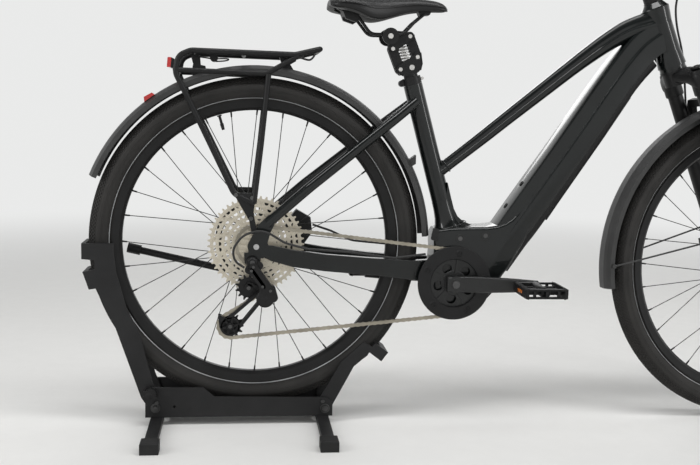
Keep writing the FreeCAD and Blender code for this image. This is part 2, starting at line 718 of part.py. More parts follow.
def make_jockey(place):
    wheel = toothed(place, JOCKEY_TEETH, CHAIN_Y - 0.8, CHAIN_Y + 0.8, 3.0 + CLEARANCE)
    return wheel.fuse(disc(place, 8.0, CHAIN_Y - 6, CHAIN_Y + 6, 3.0 + CLEARANCE))


# --- wheels ----------------------------------------------------------------------------

def make_tyre(axle):
    """Open tyre casing with its two beads."""
    middle = WHEEL_R - TYRE_SECTION_R
    centre = pt(*axle)

    def place(r, y):
        return centre + FreeCAD.Vector(r, y, 0)

    edges = []
    outer_r, inner_r = TYRE_SECTION_R, TYRE_SECTION_R - TYRE_WALL
    bead_y, bead_r = 12.2, 305.0
    z_out = middle - math.sqrt(outer_r ** 2 - bead_y ** 2)
    z_in = middle - math.sqrt(inner_r ** 2 - 9.0 ** 2)
    start, end = place(z_out, bead_y), place(z_out, -bead_y)
    edges.append(Part.Arc(start, place(middle + outer_r, 0), end).toShape())
    edges.append(Part.makePolygon([end, place(bead_r, -bead_y), place(bead_r, -9.0), place(z_in, -9.0)]))
    edges.append(Part.Arc(place(z_in, -9.0), place(middle + inner_r, 0), place(z_in, 9.0)).toShape())
    edges.append(Part.makePolygon([place(z_in, 9.0), place(bead_r, 9.0), place(bead_r, bead_y), start]))
    face = Part.Face(Part.Wire([e for shape in edges for e in shape.Edges]))
    return face.revolve(centre, Y_AXIS, 360)


def make_rim(axle):
    half = [(RIM_INNER_R, 6), (RIM_INNER_R + 6, 12.5), (RIM_OUTER_R, 15.5), (RIM_OUTER_R, 12.5), (302, 12.5)]
    return turning(axle, half + [(r, -y) for r, y in reversed(half)])


def make_spokes(axle, flange_left, flange_right):
    """Three-cross laced spokes, each its own solid."""
    spokes = []
    step = 360.0 / SPOKES
    for index in range(SPOKES):
        side = 1 if index % 2 else -1
        flange = flange_left if side > 0 else -flange_right
        leading = 1 if (index // 2) % 2 else -1
        rim_angle = index * step
        hub_angle = rim_angle - leading * 66.0
        foot = around(axle, FLANGE_R + 1.2, hub_angle)
        tip = around(axle, RIM_INNER_R - 0.2, rim_angle)
        spokes.append(rod(pt(*foot, flange + leading * 2.8), pt(*tip, side * 3.0), SPOKE_R))
    return Part.makeCompound(spokes)


def make_hub(axle, half_width, flange_left, flange_right, right_end, rotor_y):
    """Hub shell with its two spoke flanges and the brake rotor, bored for the axle."""
    bore = 6.0 + CLEARANCE
    shell = [(bore, -right_end), (11, -right_end), (11, -flange_right - 6), (17, -flange_right - 6),
             (17, flange_left + 6), (24, flange_left + 6), (24, rotor_y - 1), (12, rotor_y - 1),
             (12, half_width), (bore, half_width)]
    parts = [turning(axle, shell)]
    for y in (flange_left, -flange_right):
        parts.append(disc(axle, FLANGE_R, y - 4.2, y + 4.2, 14.0))
    rotor = disc(axle, ROTOR_R, rotor_y - 1, rotor_y + 1, 76.0)
    for n in range(6):
        inner = around(axle, 22.0, 60 * n)
        outer = around(axle, 77.5, 60 * n + 22)
        dx, dz = outer[0] - inner[0], outer[1] - inner[1]
        size = math.hypot(dx, dz)
        nx, nz = -dz / size * 4.0, dx / size * 4.0
        corners = [(inner[0] + nx, inner[1] + nz), (outer[0] + nx, outer[1] + nz),
                   (outer[0] - nx, outer[1] - nz), (inner[0] - nx, inner[1] - nz)]
        parts.append(plate(corners, rotor_y - 1, rotor_y + 1))
    return fuse(parts + [rotor, disc(axle, 25.0, rotor_y - 2, rotor_y + 1, 10.0)])


# --- seat ------------------------------------------------------------------------------

def make_seatpost():
    axis = (pt(*SEAT_TOP) - pt(*SEAT_LOW)).normalize()
    top = pt(*SEAT_TOP)
    post = pipe(top - axis * POST_BELOW, top + axis * POST_ABOVE, POST_R, 2.4)
    base = plate([(312, 773), (304, 780), (301, 790), (313, 797), (330, 800), (342, 824), (356, 824),
                  (360, 800), (357, 786)], -13, 13)
    slot = plate([(285, 775), (322, 775), (334, 803), (375, 803), (375, 835), (285, 835)], -8.5, 8.5)
    pins = [cross_pin(place, -14, 14, LINK_PIN_R) for place in (LINK_REAR[0], LINK_FRONT[0])]
    return fuse([post, base.cut(slot)] + pins)


def make_link(ends, low_r, top_r):
    """Flat link between two pivots with an eye at each end."""
    low, top = ends
    lean = math.degrees(math.atan2(top[1] - low[1], top[0] - low[0])) - 90.0
    corner = pt(low[0] - LINK_HALF, low[1], -LINK_HALF)
    middle = Part.makeBox(2 * LINK_HALF, 2 * LINK_HALF, math.dist(low, top), corner)
    middle.rotate(pt(*low), Y_AXIS, -lean)
    eyes = [disc(end, LINK_HALF + 1.0, -LINK_HALF, LINK_HALF) for end in ends]
    link = fuse([middle] + eyes)
    return link.cut(cross_pin(low, -20, 20, low_r)).cut(cross_pin(top, -20, 20, top_r))


def make_link_rear():
    return make_link(LINK_REAR, LINK_PIN_R + CLEARANCE, LINK_PIN_R + CLEARANCE)


def make_link_front():
    """Its upper eye is open around the pin, because the four-bar loop is cut there."""
    return make_link(LINK_FRONT, LINK_PIN_R + CLEARANCE, LINK_PIN_R + 1.5)


def make_post_spring():
    low, top = SPRING_ENDS
    return pipe(pt(*low), pt(*top), 7.0, 2.0)


def make_saddle_clamp():
    """Head of the seat post: two cheeks on the link pins, and the rail clamp with its bolt."""
    cheeks = both_sides([(284, 826), (284, 846), (272, 858), (280, 869), (300, 869), (318, 868), (340, 862),
                         (340, 850), (322, 850), (302, 824)], 8.6, 13.0)
    bridge = plate([(272, 852), (276, 866), (322, 869), (322, 866), (310, 853)], -13, 13)
    pins = [cross_pin(place, -14, 14, LINK_PIN_R) for place in (LINK_REAR[1], LINK_FRONT[1])]
    clamps = both_sides([(270, 850), (272, 866), (300, 866), (300, 850)], 13, 19.3)
    bolt = cross_pin((285.0, 854.0), -30, 30, 3.5)
    heads = [cross_pin((285.0, 856.0), *span, CLAMP_DISC_R) for span in ((23, 29), (-29, -23))]
    return fuse(cheeks + [bridge, bolt] + pins + clamps + heads).cut(make_saddle_rails())


def make_saddle_rails():
    rails = []
    for side in (-1, 1):
        route = [pt(x, z, side * y) for x, z, y in RAIL_ROUTE]
        rails.append(bent_rod(route, RAIL_R, RAIL_BEND))
    x, z, y = RAIL_ROUTE[-1]
    bridge = rod(pt(*RAIL_BRIDGE, -y - 1), pt(*RAIL_BRIDGE, y + 1), RAIL_R)
    return fuse(rails + [bridge])


def make_saddle():
    """Plain closed body of the saddle's true size, with pockets round the rail ends."""
    wires = []
    for x, z, width, depth in SADDLE:
        corner = min(width, depth) / 2 - 1.0
        wires.append(section(pt(x, z), FreeCAD.Vector(1, 0, 0), width, depth, corner))
    body = Part.makeLoft(wires, True, True)
    for side in (-1, 1):
        route = [pt(x, z, side * y) for x, z, y in RAIL_ROUTE]
        for near, far, end in ((route[2], route[1], route[0]), (route[3], route[4], route[5])):
            past = end + (end - far) * 0.4
            body = body.cut(bent_rod([near, far, past], RAIL_R + 0.6, RAIL_BEND))
    return body.cut(rod(pt(*RAIL_BRIDGE, -14), pt(*RAIL_BRIDGE, 14), 12.0))


# --- fork and cockpit ------------------------------------------------------------------

def make_fork_upper():
    """Steerer, crown and stanchions."""
    steerer = rod(on_steer(CROWN_LOW + 5), on_steer(188), 14.3)
    crown_race = rod(on_steer(CROWN_LOW + 6), on_steer(-12.4), 27.0)
    arms = []
    for side in (-1, 1):
        wires = []
        stations = ((0, -14, -40, 52, 2), (30, -16, -42, 46, 8), (LEG_Y + 20, -26, -52, 36, LEG_OFFSET))
        for y, high, low, deep, offset in stations:
            wires.append(crown_section(side * y, high, low, deep, offset))
        arms.append(Part.makeLoft(wires, True, True))
        foot, hollow_foot, hollow_top, top, cap_low, cap_top = [
            on_steer(along, LEG_OFFSET, side * LEG_Y)
            for along in (STANCHION_LOW, STANCHION_LOW + 1, -60, -24, -26, -15)]
        arms.append(rod(foot, top, STANCHION_R).cut(rod(hollow_foot, hollow_top, STANCHION_R - 2.5)))
        arms.append(rod(cap_low, cap_top, 14.0))
    return turned(fuse([steerer, crown_race] + arms))


def crown_section(y, high, low, deep, offset):
    corners = [on_steer(high, offset - deep / 2, y), on_steer(high, offset + deep / 2, y),
               on_steer(low, offset + deep / 2, y), on_steer(low, offset - deep / 2, y)]
    return Part.makePolygon(corners + corners[:1])


def make_fork_lowers():
    """Lower legs, arch, dropouts, front caliper and through-axle."""
    parts = []
    for side in (-1, 1):
        y = side * LEG_Y
        leg = rod(on_steer(-482, LEG_OFFSET, y), on_steer(LOWERS_TOP, LEG_OFFSET, y), LEG_R)
        parts.append(leg)
        inner, outer = side * 53.0, side * 64.0
        corners = [on_steer(-440, LEG_OFFSET - 6, inner), on_steer(-440, LEG_OFFSET + 18, inner),
                   on_steer(AXLE_DROP + 14, AXLE_OFFSET + 12, inner),
                   on_steer(AXLE_DROP - 14, AXLE_OFFSET + 8, inner),
                   on_steer(AXLE_DROP - 14, AXLE_OFFSET - 10, inner), on_steer(-482, LEG_OFFSET - 4, inner)]
        face = Part.Face(Part.makePolygon(corners + corners[:1]))
        parts.append(face.extrude(Y_AXIS * (outer - inner)))
    half = [(86, -190), (86, -140), (50, -94), (0, -94)]
    inside = [(0, -111), (41, -111), (58, -150), (58, -190)]
    mirrored = [(-y, s) for y, s in reversed(half[:-1])] + [(-y, s) for y, s in reversed(inside[1:])]
    outline = half + mirrored + inside
    corners = [on_steer(s, 38.6, y) for y, s in outline]
    arch = Part.Face(Part.makePolygon(corners + corners[:1])).extrude(STEER_FORWARD * 14.0)
    shape = fuse(parts + [arch])
    for side in (-1, 1):
        bore_low = on_steer(-345, LEG_OFFSET, side * LEG_Y)
        bore_top = on_steer(LOWERS_TOP + 1, LEG_OFFSET, side * LEG_Y)
        shape = shape.cut(rod(bore_low, bore_top, STANCHION_R + CLEARANCE))
    axle = cross_pin(FRONT_AXLE, -66, 68, 6.0)
    corner = on_steer(AXLE_DROP + 30, LEG_OFFSET - 56)
    placed = FreeCAD.Placement(corner, FreeCAD.Rotation(Y_AXIS, -STEER_TILT))
    caliper = Part.makeBox(34, 26, 62, FreeCAD.Vector(0, 26, 0))
    caliper.Placement = placed
    caliper = caliper.cut(disc(FRONT_AXLE, ROTOR_R + 4, 35.5, 40.5))
    mount = Part.makeBox(52, 8, 46, FreeCAD.Vector(0, 46, 8))
    mount.Placement = placed
    return turned(fuse([shape, axle, caliper, mount]))


def make_front_fender():
    """Fender with one wire stay to each leg and a boss under the arch."""
    parts = [fender(FRONT_AXLE, 62.0, 188.5)]
    clip = (803.5, 358.0)
    for side in (-1, 1):
        eye = on_steer(-402, LEG_OFFSET, side * (LEG_Y + LEG_R + 2.4))
        first = pt(*clip, side * (FENDER_HALF_WIDTH + 1.5))
        parts.append(bent_rod([first, pt(clip[0] + 22, clip[1] + 6, side * 38), eye], 2.0, 20.0))
        parts.append(rod(eye - Y_AXIS * 2.2, eye + Y_AXIS * 2.2, 6.0))
        reach = sorted((side * (FENDER_HALF_WIDTH - 1.5), side * (FENDER_HALF_WIDTH + 3.5)))
        parts.append(disc(clip, 5.0, *reach))
    parts.append(rod(on_steer(-123, 45.6), on_steer(-111.1, 45.6), 5.0))
    return turned(fuse(parts))


BAR_CENTRE = (160.0, 82.0)       # along and forward of the steering axis
BAR_HALF = 335.0


def make_stem():
    clamp = rod(on_steer(150.3), on_steer(188), 19.0)
    reach = on_steer(BAR_CENTRE[0] + 8, BAR_CENTRE[1])
    arm = rod(on_steer(168), reach, 15.5)
    barrel = rod(reach - Y_AXIS * 24, reach + Y_AXIS * 24, 22.0)
    stem = fuse([clamp, arm, barrel])
    cut_bar = rod(reach - Y_AXIS * 30, reach + Y_AXIS * 30, 15.9)
    cap = rod(on_steer(188), on_steer(193), 18.0)
    steerer_bore = rod(on_steer(140), on_steer(188), 14.3)
    return turned(fuse([stem.cut(cut_bar).cut(steerer_bore), cap]))


def bar_points():
    centre = on_steer(BAR_CENTRE[0] + 8, BAR_CENTRE[1])
    points = []
    for side in (-1, 1):
        back = FreeCAD.Vector(-34, side * BAR_HALF, 26)
        bend = FreeCAD.Vector(4, side * 150, 24)
        rise = FreeCAD.Vector(0, side * 60, 0)
        run = [centre + rise, centre + bend, centre + back]
        points = points + run if side > 0 else list(reversed(run))
    return points


def make_handlebar():
    points = bar_points()
    solid = bent_rod(points, 11.1, 60.0)
    centre = on_steer(BAR_CENTRE[0] + 8, BAR_CENTRE[1])
    spans = ((24.2, 15.9), (25.0, 15.4))
    middle = [rod(centre - Y_AXIS * half, centre + Y_AXIS * half, radius) for half, radius in spans]
    seats = [rod(centre + Y_AXIS * (side * 25), centre + Y_AXIS * (side * 45), 15.9) for side in (-1, 1)]
    return turned(fuse([solid] + middle + seats))


def grip_axis(side):
    """Point where the grip begins and the direction of the bar's end."""
    points = bar_points()
    end, bend = (points[-1], points[-2]) if side > 0 else (points[0], points[1])
    along = (end - bend).normalize()
    return end - along * 128, end, along


def make_grips():
    grips = []
    for side in (-1, 1):
        start, end, along = grip_axis(side)
        grips.append(pipe(start, end + along * 4, 16.0, 16.0 - 11.1 - 0.01))
    return turned(Part.makeCompound(grips))


def control_frame(side):
    """Clamp centre on the bar, its outward direction and its forward direction."""
    start, _, along = grip_axis(side)
    forward = along.cross(UP).normalize()
    forward = forward if forward.x > 0 else forward * -1
    return start - along * 22, along, forward


def lever_pivot(side):
    centre, along, forward = control_frame(side)
    return centre + forward * 43 + along * 12


def make_brake_clamps():
    """Brake lever housings; the right one also carries the shift pod."""
    clamps = []
    for side in (-1, 1):
        centre, along, forward = control_frame(side)
        pivot = lever_pivot(side)
        reservoir = centre + forward * 25
        parts = [rod(centre - along * 8, centre + along * 8, 16.5),
                 rod(reservoir - along * 34, reservoir + along * 19, 10.0),
                 rod(centre + along * 1, reservoir, 6.5),
                 rod(reservoir + along * 12, pivot, 3.2),
                 rod(pivot - UP * 4, pivot + UP * 4, 6.0),
                 rod(pivot - UP * 9, pivot + UP * 9, 2.5)]
        if side < 0:
            pod = shift_pivot()
            parts.append(rod(pod - UP * 9, pod + UP * 4, 13.0))
            parts.append(rod(pod - UP * 14, pod - UP * 8, 2.5))
            parts.append(rod(pod, centre, 5.0))
        clamp = fuse(parts).cut(rod(centre - along * 60, centre + along * 60, 11.1))
        clamps.append(clamp)
    return turned(Part.makeCompound(clamps))


def shift_pivot():
    centre, along, forward = control_frame(-1)
    return centre - along * 20 - UP * 24 + forward * 4


def make_shift_lever():
    """Thumb paddle under the shift pod."""
    _, along, forward = control_frame(-1)
    pod = shift_pivot()
    low = pod - UP * 12.2
    eye = rod(low, low + UP * 2.8, 6.0)
    arm = rod(low + UP * 1.4, low + UP * 1.4 - forward * 30 + along * 10, 1.3)
    tip = low + UP * 1.4 - forward * 30 + along * 10
    pad = rod(tip - along * 9, tip + along * 9, 3.5)
    return turned(fuse([eye, arm, pad]).cut(rod(pod - UP * 16, pod, 2.5 + CLEARANCE)))


def make_brake_lever(side):
    _, along, forward = control_frame(side)
    pivot = lever_pivot(side)
    knee = pivot + forward * 16 + along * 15
    parts = []
    for z in (-8.5, 4.5):
        parts.append(rod(pivot + UP * z, pivot + UP * (z + 4), 6.5))
        parts.append(rod(pivot + UP * (z + 2), knee, 2.0))
    blade = [knee, pivot + forward * 20 + along * 60, pivot + forward * 8 + along * 100]
    parts.append(bent_rod(blade, 4.5, 60.0))
    lever = fuse(parts)
    hole = rod(pivot - UP * 12, pivot + UP * 12, 2.5 + CLEARANCE)
    return turned(lever.cut(hole).cut(rod(pivot - UP * 4.3, pivot + UP * 4.3, 7.0)))


def kick_frame(along_axis=0.0):
    return pt(*KICK_PIVOT, 99.0) + KICK_AXIS * along_axis


def make_kickstand():
    """Folded leg on the left side with its rubber foot."""
    tip = pt(-290, 372, 106)
    start = kick_frame(2.0)
    along = (tip - start).normalize()
    leg = rod(start, tip - along * 28, 8.0)
    knuckle = rod(kick_frame(-7), kick_frame(11), 15.0)
    foot = rod(tip - along * 30, tip, 11.5)
    return fuse([leg, knuckle, foot]).cut(rod(kick_frame(-30), kick_frame(30), 5.0 + CLEARANCE))


def make_kickstand_mount():
    arm = plate([(70, 360), (60, 334), (22, 288), (-6, 292), (-8, 318), (30, 352)], 80, 86)
    spacer = rod(kick_frame(-16), kick_frame(-7.3), 13.0)
    pin = rod(kick_frame(-16), kick_frame(13), 5.0)
    return fuse([arm, spacer, pin])


def make_frame_cables():
    """Shift housing looping to the derailleur and the brake hose along the left stay."""
    shift = [pt(372, 384, -52), pt(300, 376, -60), pt(200, 390, -72), pt(110, 398, -88), pt(60, 412, -96),
             pt(15, 440, -100), pt(-28, 430, -100), pt(-50, 398, -98), pt(-46, 372, -96), pt(-25, 358, -92)]
    brake = [pt(360, 384, 52), pt(300, 392, 58), pt(220, 398, 66), pt(172, 420, 66), pt(130, 434, 64)]
    return Part.makeCompound([bent_rod(shift, 2.5, 60.0), bent_rod(brake, 2.5, 60.0)])


def export(name, shape):
    shape.exportStep("parts/" + name + ".step")


def main():
    os.makedirs("parts", exist_ok=True)
    nodes = {
        "stand_base": make_stand_base(),
        "stand_feet": make_stand_feet(),
        "stand_foot_caps": make_foot_caps(),
        "stand_front_arm": make_front_arm(),
        "stand_rear_arm": make_rear_arm(),
        "stand_knob": make_knob(),
        "head_tube": make_head_tube(),
        "top_tube": make_top_tube(),
        "down_tube": make_down_tube(),
        "seat_tube": make_seat_tube(),
        "rear_triangle": make_rear_triangle(),
        "motor_housing": make_motor_housing(),
        "drive_unit": make_drive_unit(),
        "battery": make_battery(),
        "seat_collar": make_seat_collar(),
        "rear_fender": make_rear_fender(),
        "rear_lamp": make_rear_lamp(),
        "rack": make_rack(),
        "rear_caliper": make_rear_caliper(),
        "frame_cables": make_frame_cables(),
        "rear_axle": make_rear_axle(),
        "chain_upper": make_chain_upper(),
        "chain_lower": make_chain_lower(),
        "cassette": make_cassette(),
        "chainring": make_chainring(),
        "chain_guard": make_chain_guard(),
        "crank_right": make_crank_right(),
        "crank_left": make_crank_left(),
        "pedal_right": make_pedal(-1, 1),
        "pedal_left": make_pedal(1, -1),
        "derailleur_body": make_derailleur_body(),
        "derailleur_cage": make_cage(),
        "jockey_upper": make_jockey(JOCKEY_TOP),
        "jockey_lower": make_jockey(JOCKEY_LOW),
        "kickstand": make_kickstand(),
        "rear_tyre": make_tyre(REAR_AXLE),
        "rear_rim": make_rim(REAR_AXLE),
        "rear_spokes": make_spokes(REAR_AXLE, 36.0, 17.0),
        "rear_hub": make_hub(REAR_AXLE, 73.7, 36.0, 17.0, 73.7, 58.0),
        "front_tyre": turned(make_tyre(FRONT_AXLE)),
        "front_rim": turned(make_rim(FRONT_AXLE)),
        "front_spokes": turned(make_spokes(FRONT_AXLE, 24.0, 36.0)),
        "front_hub": turned(make_hub(FRONT_AXLE, 52.6, 24.0, 36.0, 52.6, 38.0)),
        "seatpost": make_seatpost(),
        "post_link_rear": make_link_rear(),
        "post_link_front": make_link_front(),
        "post_spring": make_post_spring(),
        "saddle_clamp": make_saddle_clamp(),
        "saddle_rails": make_saddle_rails(),
        "saddle": make_saddle(),
        "fork_upper": make_fork_upper(),
        "fork_lowers": make_fork_lowers(),
        "front_fender": make_front_fender(),
        "stem": make_stem(),
        "handlebar": make_handlebar(),
        "grips": make_grips(),
        "brake_clamps": make_brake_clamps(),
        "brake_lever_right": make_brake_lever(-1),
        "brake_lever_left": make_brake_lever(1),
        "shift_lever": make_shift_lever(),
    }
    for name, shape in nodes.items():
        export(name, shape)


main()
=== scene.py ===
import math
import json
import random
import bpy
import bmesh
import numpy as np
from mathutils import Matrix, Vector


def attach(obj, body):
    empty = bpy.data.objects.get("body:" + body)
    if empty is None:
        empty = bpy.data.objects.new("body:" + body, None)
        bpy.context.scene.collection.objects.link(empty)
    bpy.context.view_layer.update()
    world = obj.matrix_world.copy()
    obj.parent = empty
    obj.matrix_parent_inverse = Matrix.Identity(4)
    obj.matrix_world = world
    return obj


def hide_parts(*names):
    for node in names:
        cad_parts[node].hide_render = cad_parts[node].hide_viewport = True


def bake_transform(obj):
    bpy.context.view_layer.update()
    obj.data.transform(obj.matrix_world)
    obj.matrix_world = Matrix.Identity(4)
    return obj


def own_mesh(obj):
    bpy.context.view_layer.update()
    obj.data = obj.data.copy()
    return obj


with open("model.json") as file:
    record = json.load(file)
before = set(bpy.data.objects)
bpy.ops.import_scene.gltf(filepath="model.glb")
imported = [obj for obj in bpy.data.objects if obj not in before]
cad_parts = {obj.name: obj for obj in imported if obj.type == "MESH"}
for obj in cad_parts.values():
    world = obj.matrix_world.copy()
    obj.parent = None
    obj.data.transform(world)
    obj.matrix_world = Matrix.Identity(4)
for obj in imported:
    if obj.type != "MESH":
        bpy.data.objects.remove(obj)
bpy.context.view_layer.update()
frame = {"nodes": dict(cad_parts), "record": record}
NODES = frame["nodes"]
random.seed(4)

REAR_AXLE_X = -0.581


def spot(x, z, y=0.0):
    """A point given in millimetres from the rear axle's column and the floor."""
    return Vector((x / 1000.0 + REAR_AXLE_X, y / 1000.0, z / 1000.0))


# ---------------------------------------------------------------- camera
CAMERA_AT = Vector((-0.615, -2.143, 0.685))
CAMERA_YAW = math.radians(6.48)
CAMERA_PITCH = math.radians(6.90)
CAMERA_ROLL = math.radians(1.33)


def make_camera():
    """Stand the camera where the photograph was taken from."""
    data = bpy.data.cameras.new("camera")
    data.lens = 50.0
    data.sensor_width = 36.0
    data.clip_end = 60.0
    camera = bpy.data.objects.new("camera", data)
    bpy.context.scene.collection.objects.link(camera)
    ahead = Vector((math.sin(CAMERA_YAW) * math.cos(CAMERA_PITCH),
                    math.cos(CAMERA_YAW) * math.cos(CAMERA_PITCH), -math.sin(CAMERA_PITCH)))
    right = Vector((math.cos(CAMERA_YAW), -math.sin(CAMERA_YAW), 0.0))
    up = right.cross(ahead)
    turn_right = right * math.cos(CAMERA_ROLL) + up * math.sin(CAMERA_ROLL)
    turn_up = up * math.cos(CAMERA_ROLL) - right * math.sin(CAMERA_ROLL)
    rows = Matrix((turn_right, turn_up, -ahead)).transposed()
    camera.matrix_world = Matrix.Translation(CAMERA_AT) @ rows.to_4x4()
    bpy.context.scene.camera = camera


make_camera()


# ---------------------------------------------------------------- materials
def material(name, colour, rough, metal=0.0, grain=400.0, bump=0.1, spread=0.25, coat=0.0,
             specular=0.5, coarse=0.0, coarse_scale=20.0, sheen=0.0):
    """A finish whose colour, roughness and relief all vary with procedural noise."""
    made = bpy.data.materials.new(name)
    made.use_nodes = True
    nodes, links = made.node_tree.nodes, made.node_tree.links
    shader = nodes["Principled BSDF"]
    place = nodes.new("ShaderNodeTexCoord")
    fine = nodes.new("ShaderNodeTexNoise")
    fine.inputs["Scale"].default_value = grain
    fine.inputs["Detail"].default_value = 3.0
    broad = nodes.new("ShaderNodeTexNoise")
    broad.inputs["Scale"].default_value = coarse_scale
    broad.inputs["Detail"].default_value = 4.0
    for noise in (fine, broad):
        links.new(place.outputs["Object"], noise.inputs["Vector"])
    tint = nodes.new("ShaderNodeValToRGB")
    low = [max(0.0, c * (1.0 - spread)) for c in colour]
    high = [min(1.0, c * (1.0 + spread)) for c in colour]
    tint.color_ramp.elements[0].position = 0.3
    tint.color_ramp.elements[1].position = 0.7
    tint.color_ramp.elements[0].color = (*low, 1.0)
    tint.color_ramp.elements[1].color = (*high, 1.0)
    links.new(broad.outputs["Fac"], tint.inputs["Fac"])
    links.new(tint.outputs["Color"], shader.inputs["Base Color"])
    ranged = nodes.new("ShaderNodeMapRange")
    ranged.inputs["From Min"].default_value = 0.3
    ranged.inputs["From Max"].default_value = 0.7
    ranged.inputs["To Min"].default_value = max(0.02, rough * 0.85)
    ranged.inputs["To Max"].default_value = min(1.0, rough * 1.15)
    links.new(fine.outputs["Fac"], ranged.inputs["Value"])
    links.new(ranged.outputs["Result"], shader.inputs["Roughness"])
    relief = nodes.new("ShaderNodeBump")
    relief.inputs["Strength"].default_value = bump
    relief.inputs["Distance"].default_value = 0.0005
    links.new(fine.outputs["Fac"], relief.inputs["Height"])
    if coarse > 0.0:
        waves = nodes.new("ShaderNodeBump")
        waves.inputs["Strength"].default_value = coarse
        waves.inputs["Distance"].default_value = 0.0005
        links.new(broad.outputs["Fac"], waves.inputs["Height"])
        links.new(waves.outputs["Normal"], relief.inputs["Normal"])
    links.new(relief.outputs["Normal"], shader.inputs["Normal"])
    shader.inputs["Metallic"].default_value = metal
    shader.inputs["Coat Weight"].default_value = coat
    shader.inputs["Coat Roughness"].default_value = 0.04
    shader.inputs["Specular IOR Level"].default_value = specular
    shader.inputs["Sheen Weight"].default_value = sheen
    return made


FINISH = {
    "frame_paint": material("frame_paint", (0.0035, 0.0048, 0.0047), 0.30, coat=0.55,
                            grain=3000.0, bump=0.008, specular=0.2),
    "black_metal": material("black_metal", (0.007, 0.007, 0.0073), 0.42, bump=0.1, specular=0.3),
    "stand_steel": material("stand_steel", (0.010, 0.010, 0.0105), 0.55, grain=900.0, bump=0.25,
                            specular=0.35),
    "black_plastic": material("black_plastic", (0.008, 0.008, 0.0083), 0.5, grain=1200.0, bump=0.2,
                              specular=0.3),
    "fender_plastic": material("fender_plastic", (0.030, 0.030, 0.030), 0.48, grain=1500.0, bump=0.08),
    "crank_alloy": material("crank_alloy", (0.011, 0.0115, 0.0115), 0.40, metal=0.1, grain=1500.0,
                            bump=0.06),
    "bare_alloy": material("bare_alloy", (0.55, 0.55, 0.55), 0.32, metal=1.0, bump=0.1),
    "chain_steel": material("chain_steel", (0.36, 0.33, 0.27), 0.34, metal=0.8, grain=700.0, bump=0.1),
    "spoke_steel": material("spoke_steel", (0.03, 0.03, 0.03), 0.35, metal=0.7),
    "spring_steel": material("spring_steel", (0.62, 0.61, 0.59), 0.34, metal=0.55),
    "tyre": material("tyre", (0.018, 0.0168, 0.0155), 0.72, grain=1500.0, bump=0.3, specular=0.45),
    "rubber": material("rubber", (0.014, 0.014, 0.014), 0.75, grain=1500.0, bump=0.3, specular=0.35),
    "saddle_cover": material("saddle_cover", (0.0045, 0.0045, 0.0048), 0.38, grain=1600.0, bump=0.3,
                             specular=0.4),
    "lamp_red": material("lamp_red", (0.50, 0.012, 0.010), 0.15, coat=0.5),
    "cable": material("cable", (0.014, 0.014, 0.014), 0.5, grain=1500.0, bump=0.1),
    "motor_metal": material("motor_metal", (0.010, 0.0105, 0.0105), 0.45, metal=0.1, grain=1300.0,
                            bump=0.15),
}


def dress_frame():
    """Every CAD node gets the finish of its own slot."""
    for part in frame["record"]["subparts"]:
        node = NODES[part["node"]]
        node.data.materials.clear()
        node.data.materials.append(FINISH[part["material_slot"]])


dress_frame()


# ---------------------------------------------------------------- mesh helpers
STEER_TILT = math.radians(21.3)
STEER_UP = Vector((-math.sin(STEER_TILT), 0.0, math.cos(STEER_TILT)))
STEER_FORWARD = Vector((math.cos(STEER_TILT), 0.0, math.sin(STEER_TILT)))
HEAD_POINT = spot(936.0, 812.0)
TURN = (Matrix.Translation(HEAD_POINT) @ Matrix.Rotation(math.radians(3.8), 4, STEER_UP)
        @ Matrix.Translation(-HEAD_POINT))


def on_steer(along, forward=0.0, y=0.0):
    """A point in millimetres up and forward of the steering axis, bars straight."""
    return HEAD_POINT + (STEER_UP * along + STEER_FORWARD * forward + Vector((0, y, 0))) / 1000.0


def place_mesh(name, mesh, body, slot_name, finish=None, replaces=(), front=False, smooth=35.0):
    """Puts a finished mesh into the scene as a piece that rides on a CAD body."""
    if front:
        mesh.transform(TURN)
    made = bpy.data.objects.new(name, mesh)
    bpy.context.scene.collection.objects.link(made)
    mesh.materials.clear()
    mesh.materials.append(finish or FINISH[slot_name])
    if smooth:
        mesh.shade_smooth() if hasattr(mesh, "shade_smooth") else None
        mesh.set_sharp_from_angle(angle=math.radians(smooth))
    if body:
        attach(made, body)
    if replaces:
        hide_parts(*replaces)
    return made


def finish_bm(name, bm, body, slot_name, **options):
    """Turn a bmesh into a placed piece, its faces looking outward."""
    bmesh.ops.recalc_face_normals(bm, faces=bm.faces)
    mesh = bpy.data.meshes.new(name)
    bm.to_mesh(mesh)
    bm.free()
    return place_mesh(name, mesh, body, slot_name, **options)


def grow_rod(bm, start, end, radius, sides=16, radius2=None):
    """A capped cylinder, or a cone, between two points in metres; radii in millimetres."""
    axis = end - start
    turn = axis.to_track_quat("Z", "Y").to_matrix().to_4x4()
    at = Matrix.Translation((start + end) / 2) @ turn
    bmesh.ops.create_cone(bm, cap_ends=True, segments=sides, radius1=radius / 1000.0,
                          radius2=(radius if radius2 is None else radius2) / 1000.0,
                          depth=axis.length, matrix=at)


def grow_block(bm, centre, size, turn=Matrix.Identity(3), bevel=0.0):
    """A box with its sizes in millimetres, optionally with rounded edges."""
    at = Matrix.Translation(centre) @ turn.to_4x4() @ Matrix.Diagonal((*[s / 1000.0 for s in size], 1.0))
    made = bmesh.ops.create_cube(bm, size=1.0, matrix=at)
    if bevel:
        edges = list({e for v in made["verts"] for e in v.link_edges})
        bmesh.ops.bevel(bm, geom=edges, offset=bevel / 1000.0, segments=2, affect="EDGES", profile=0.5)


def grow_prism(bm, outline, y0, y1):
    """An outline of (x, z) in millimetres, made thick from y0 to y1."""
    low = [bm.verts.new(spot(x, z, y0)) for x, z in outline]
    high = [bm.verts.new(spot(x, z, y1)) for x, z in outline]
    bm.faces.new(low)
    bm.faces.new(high)
    count = len(outline)
    for i in range(count):
        j = (i + 1) % count
        bm.faces.new((low[i], low[j], high[j], high[i]))


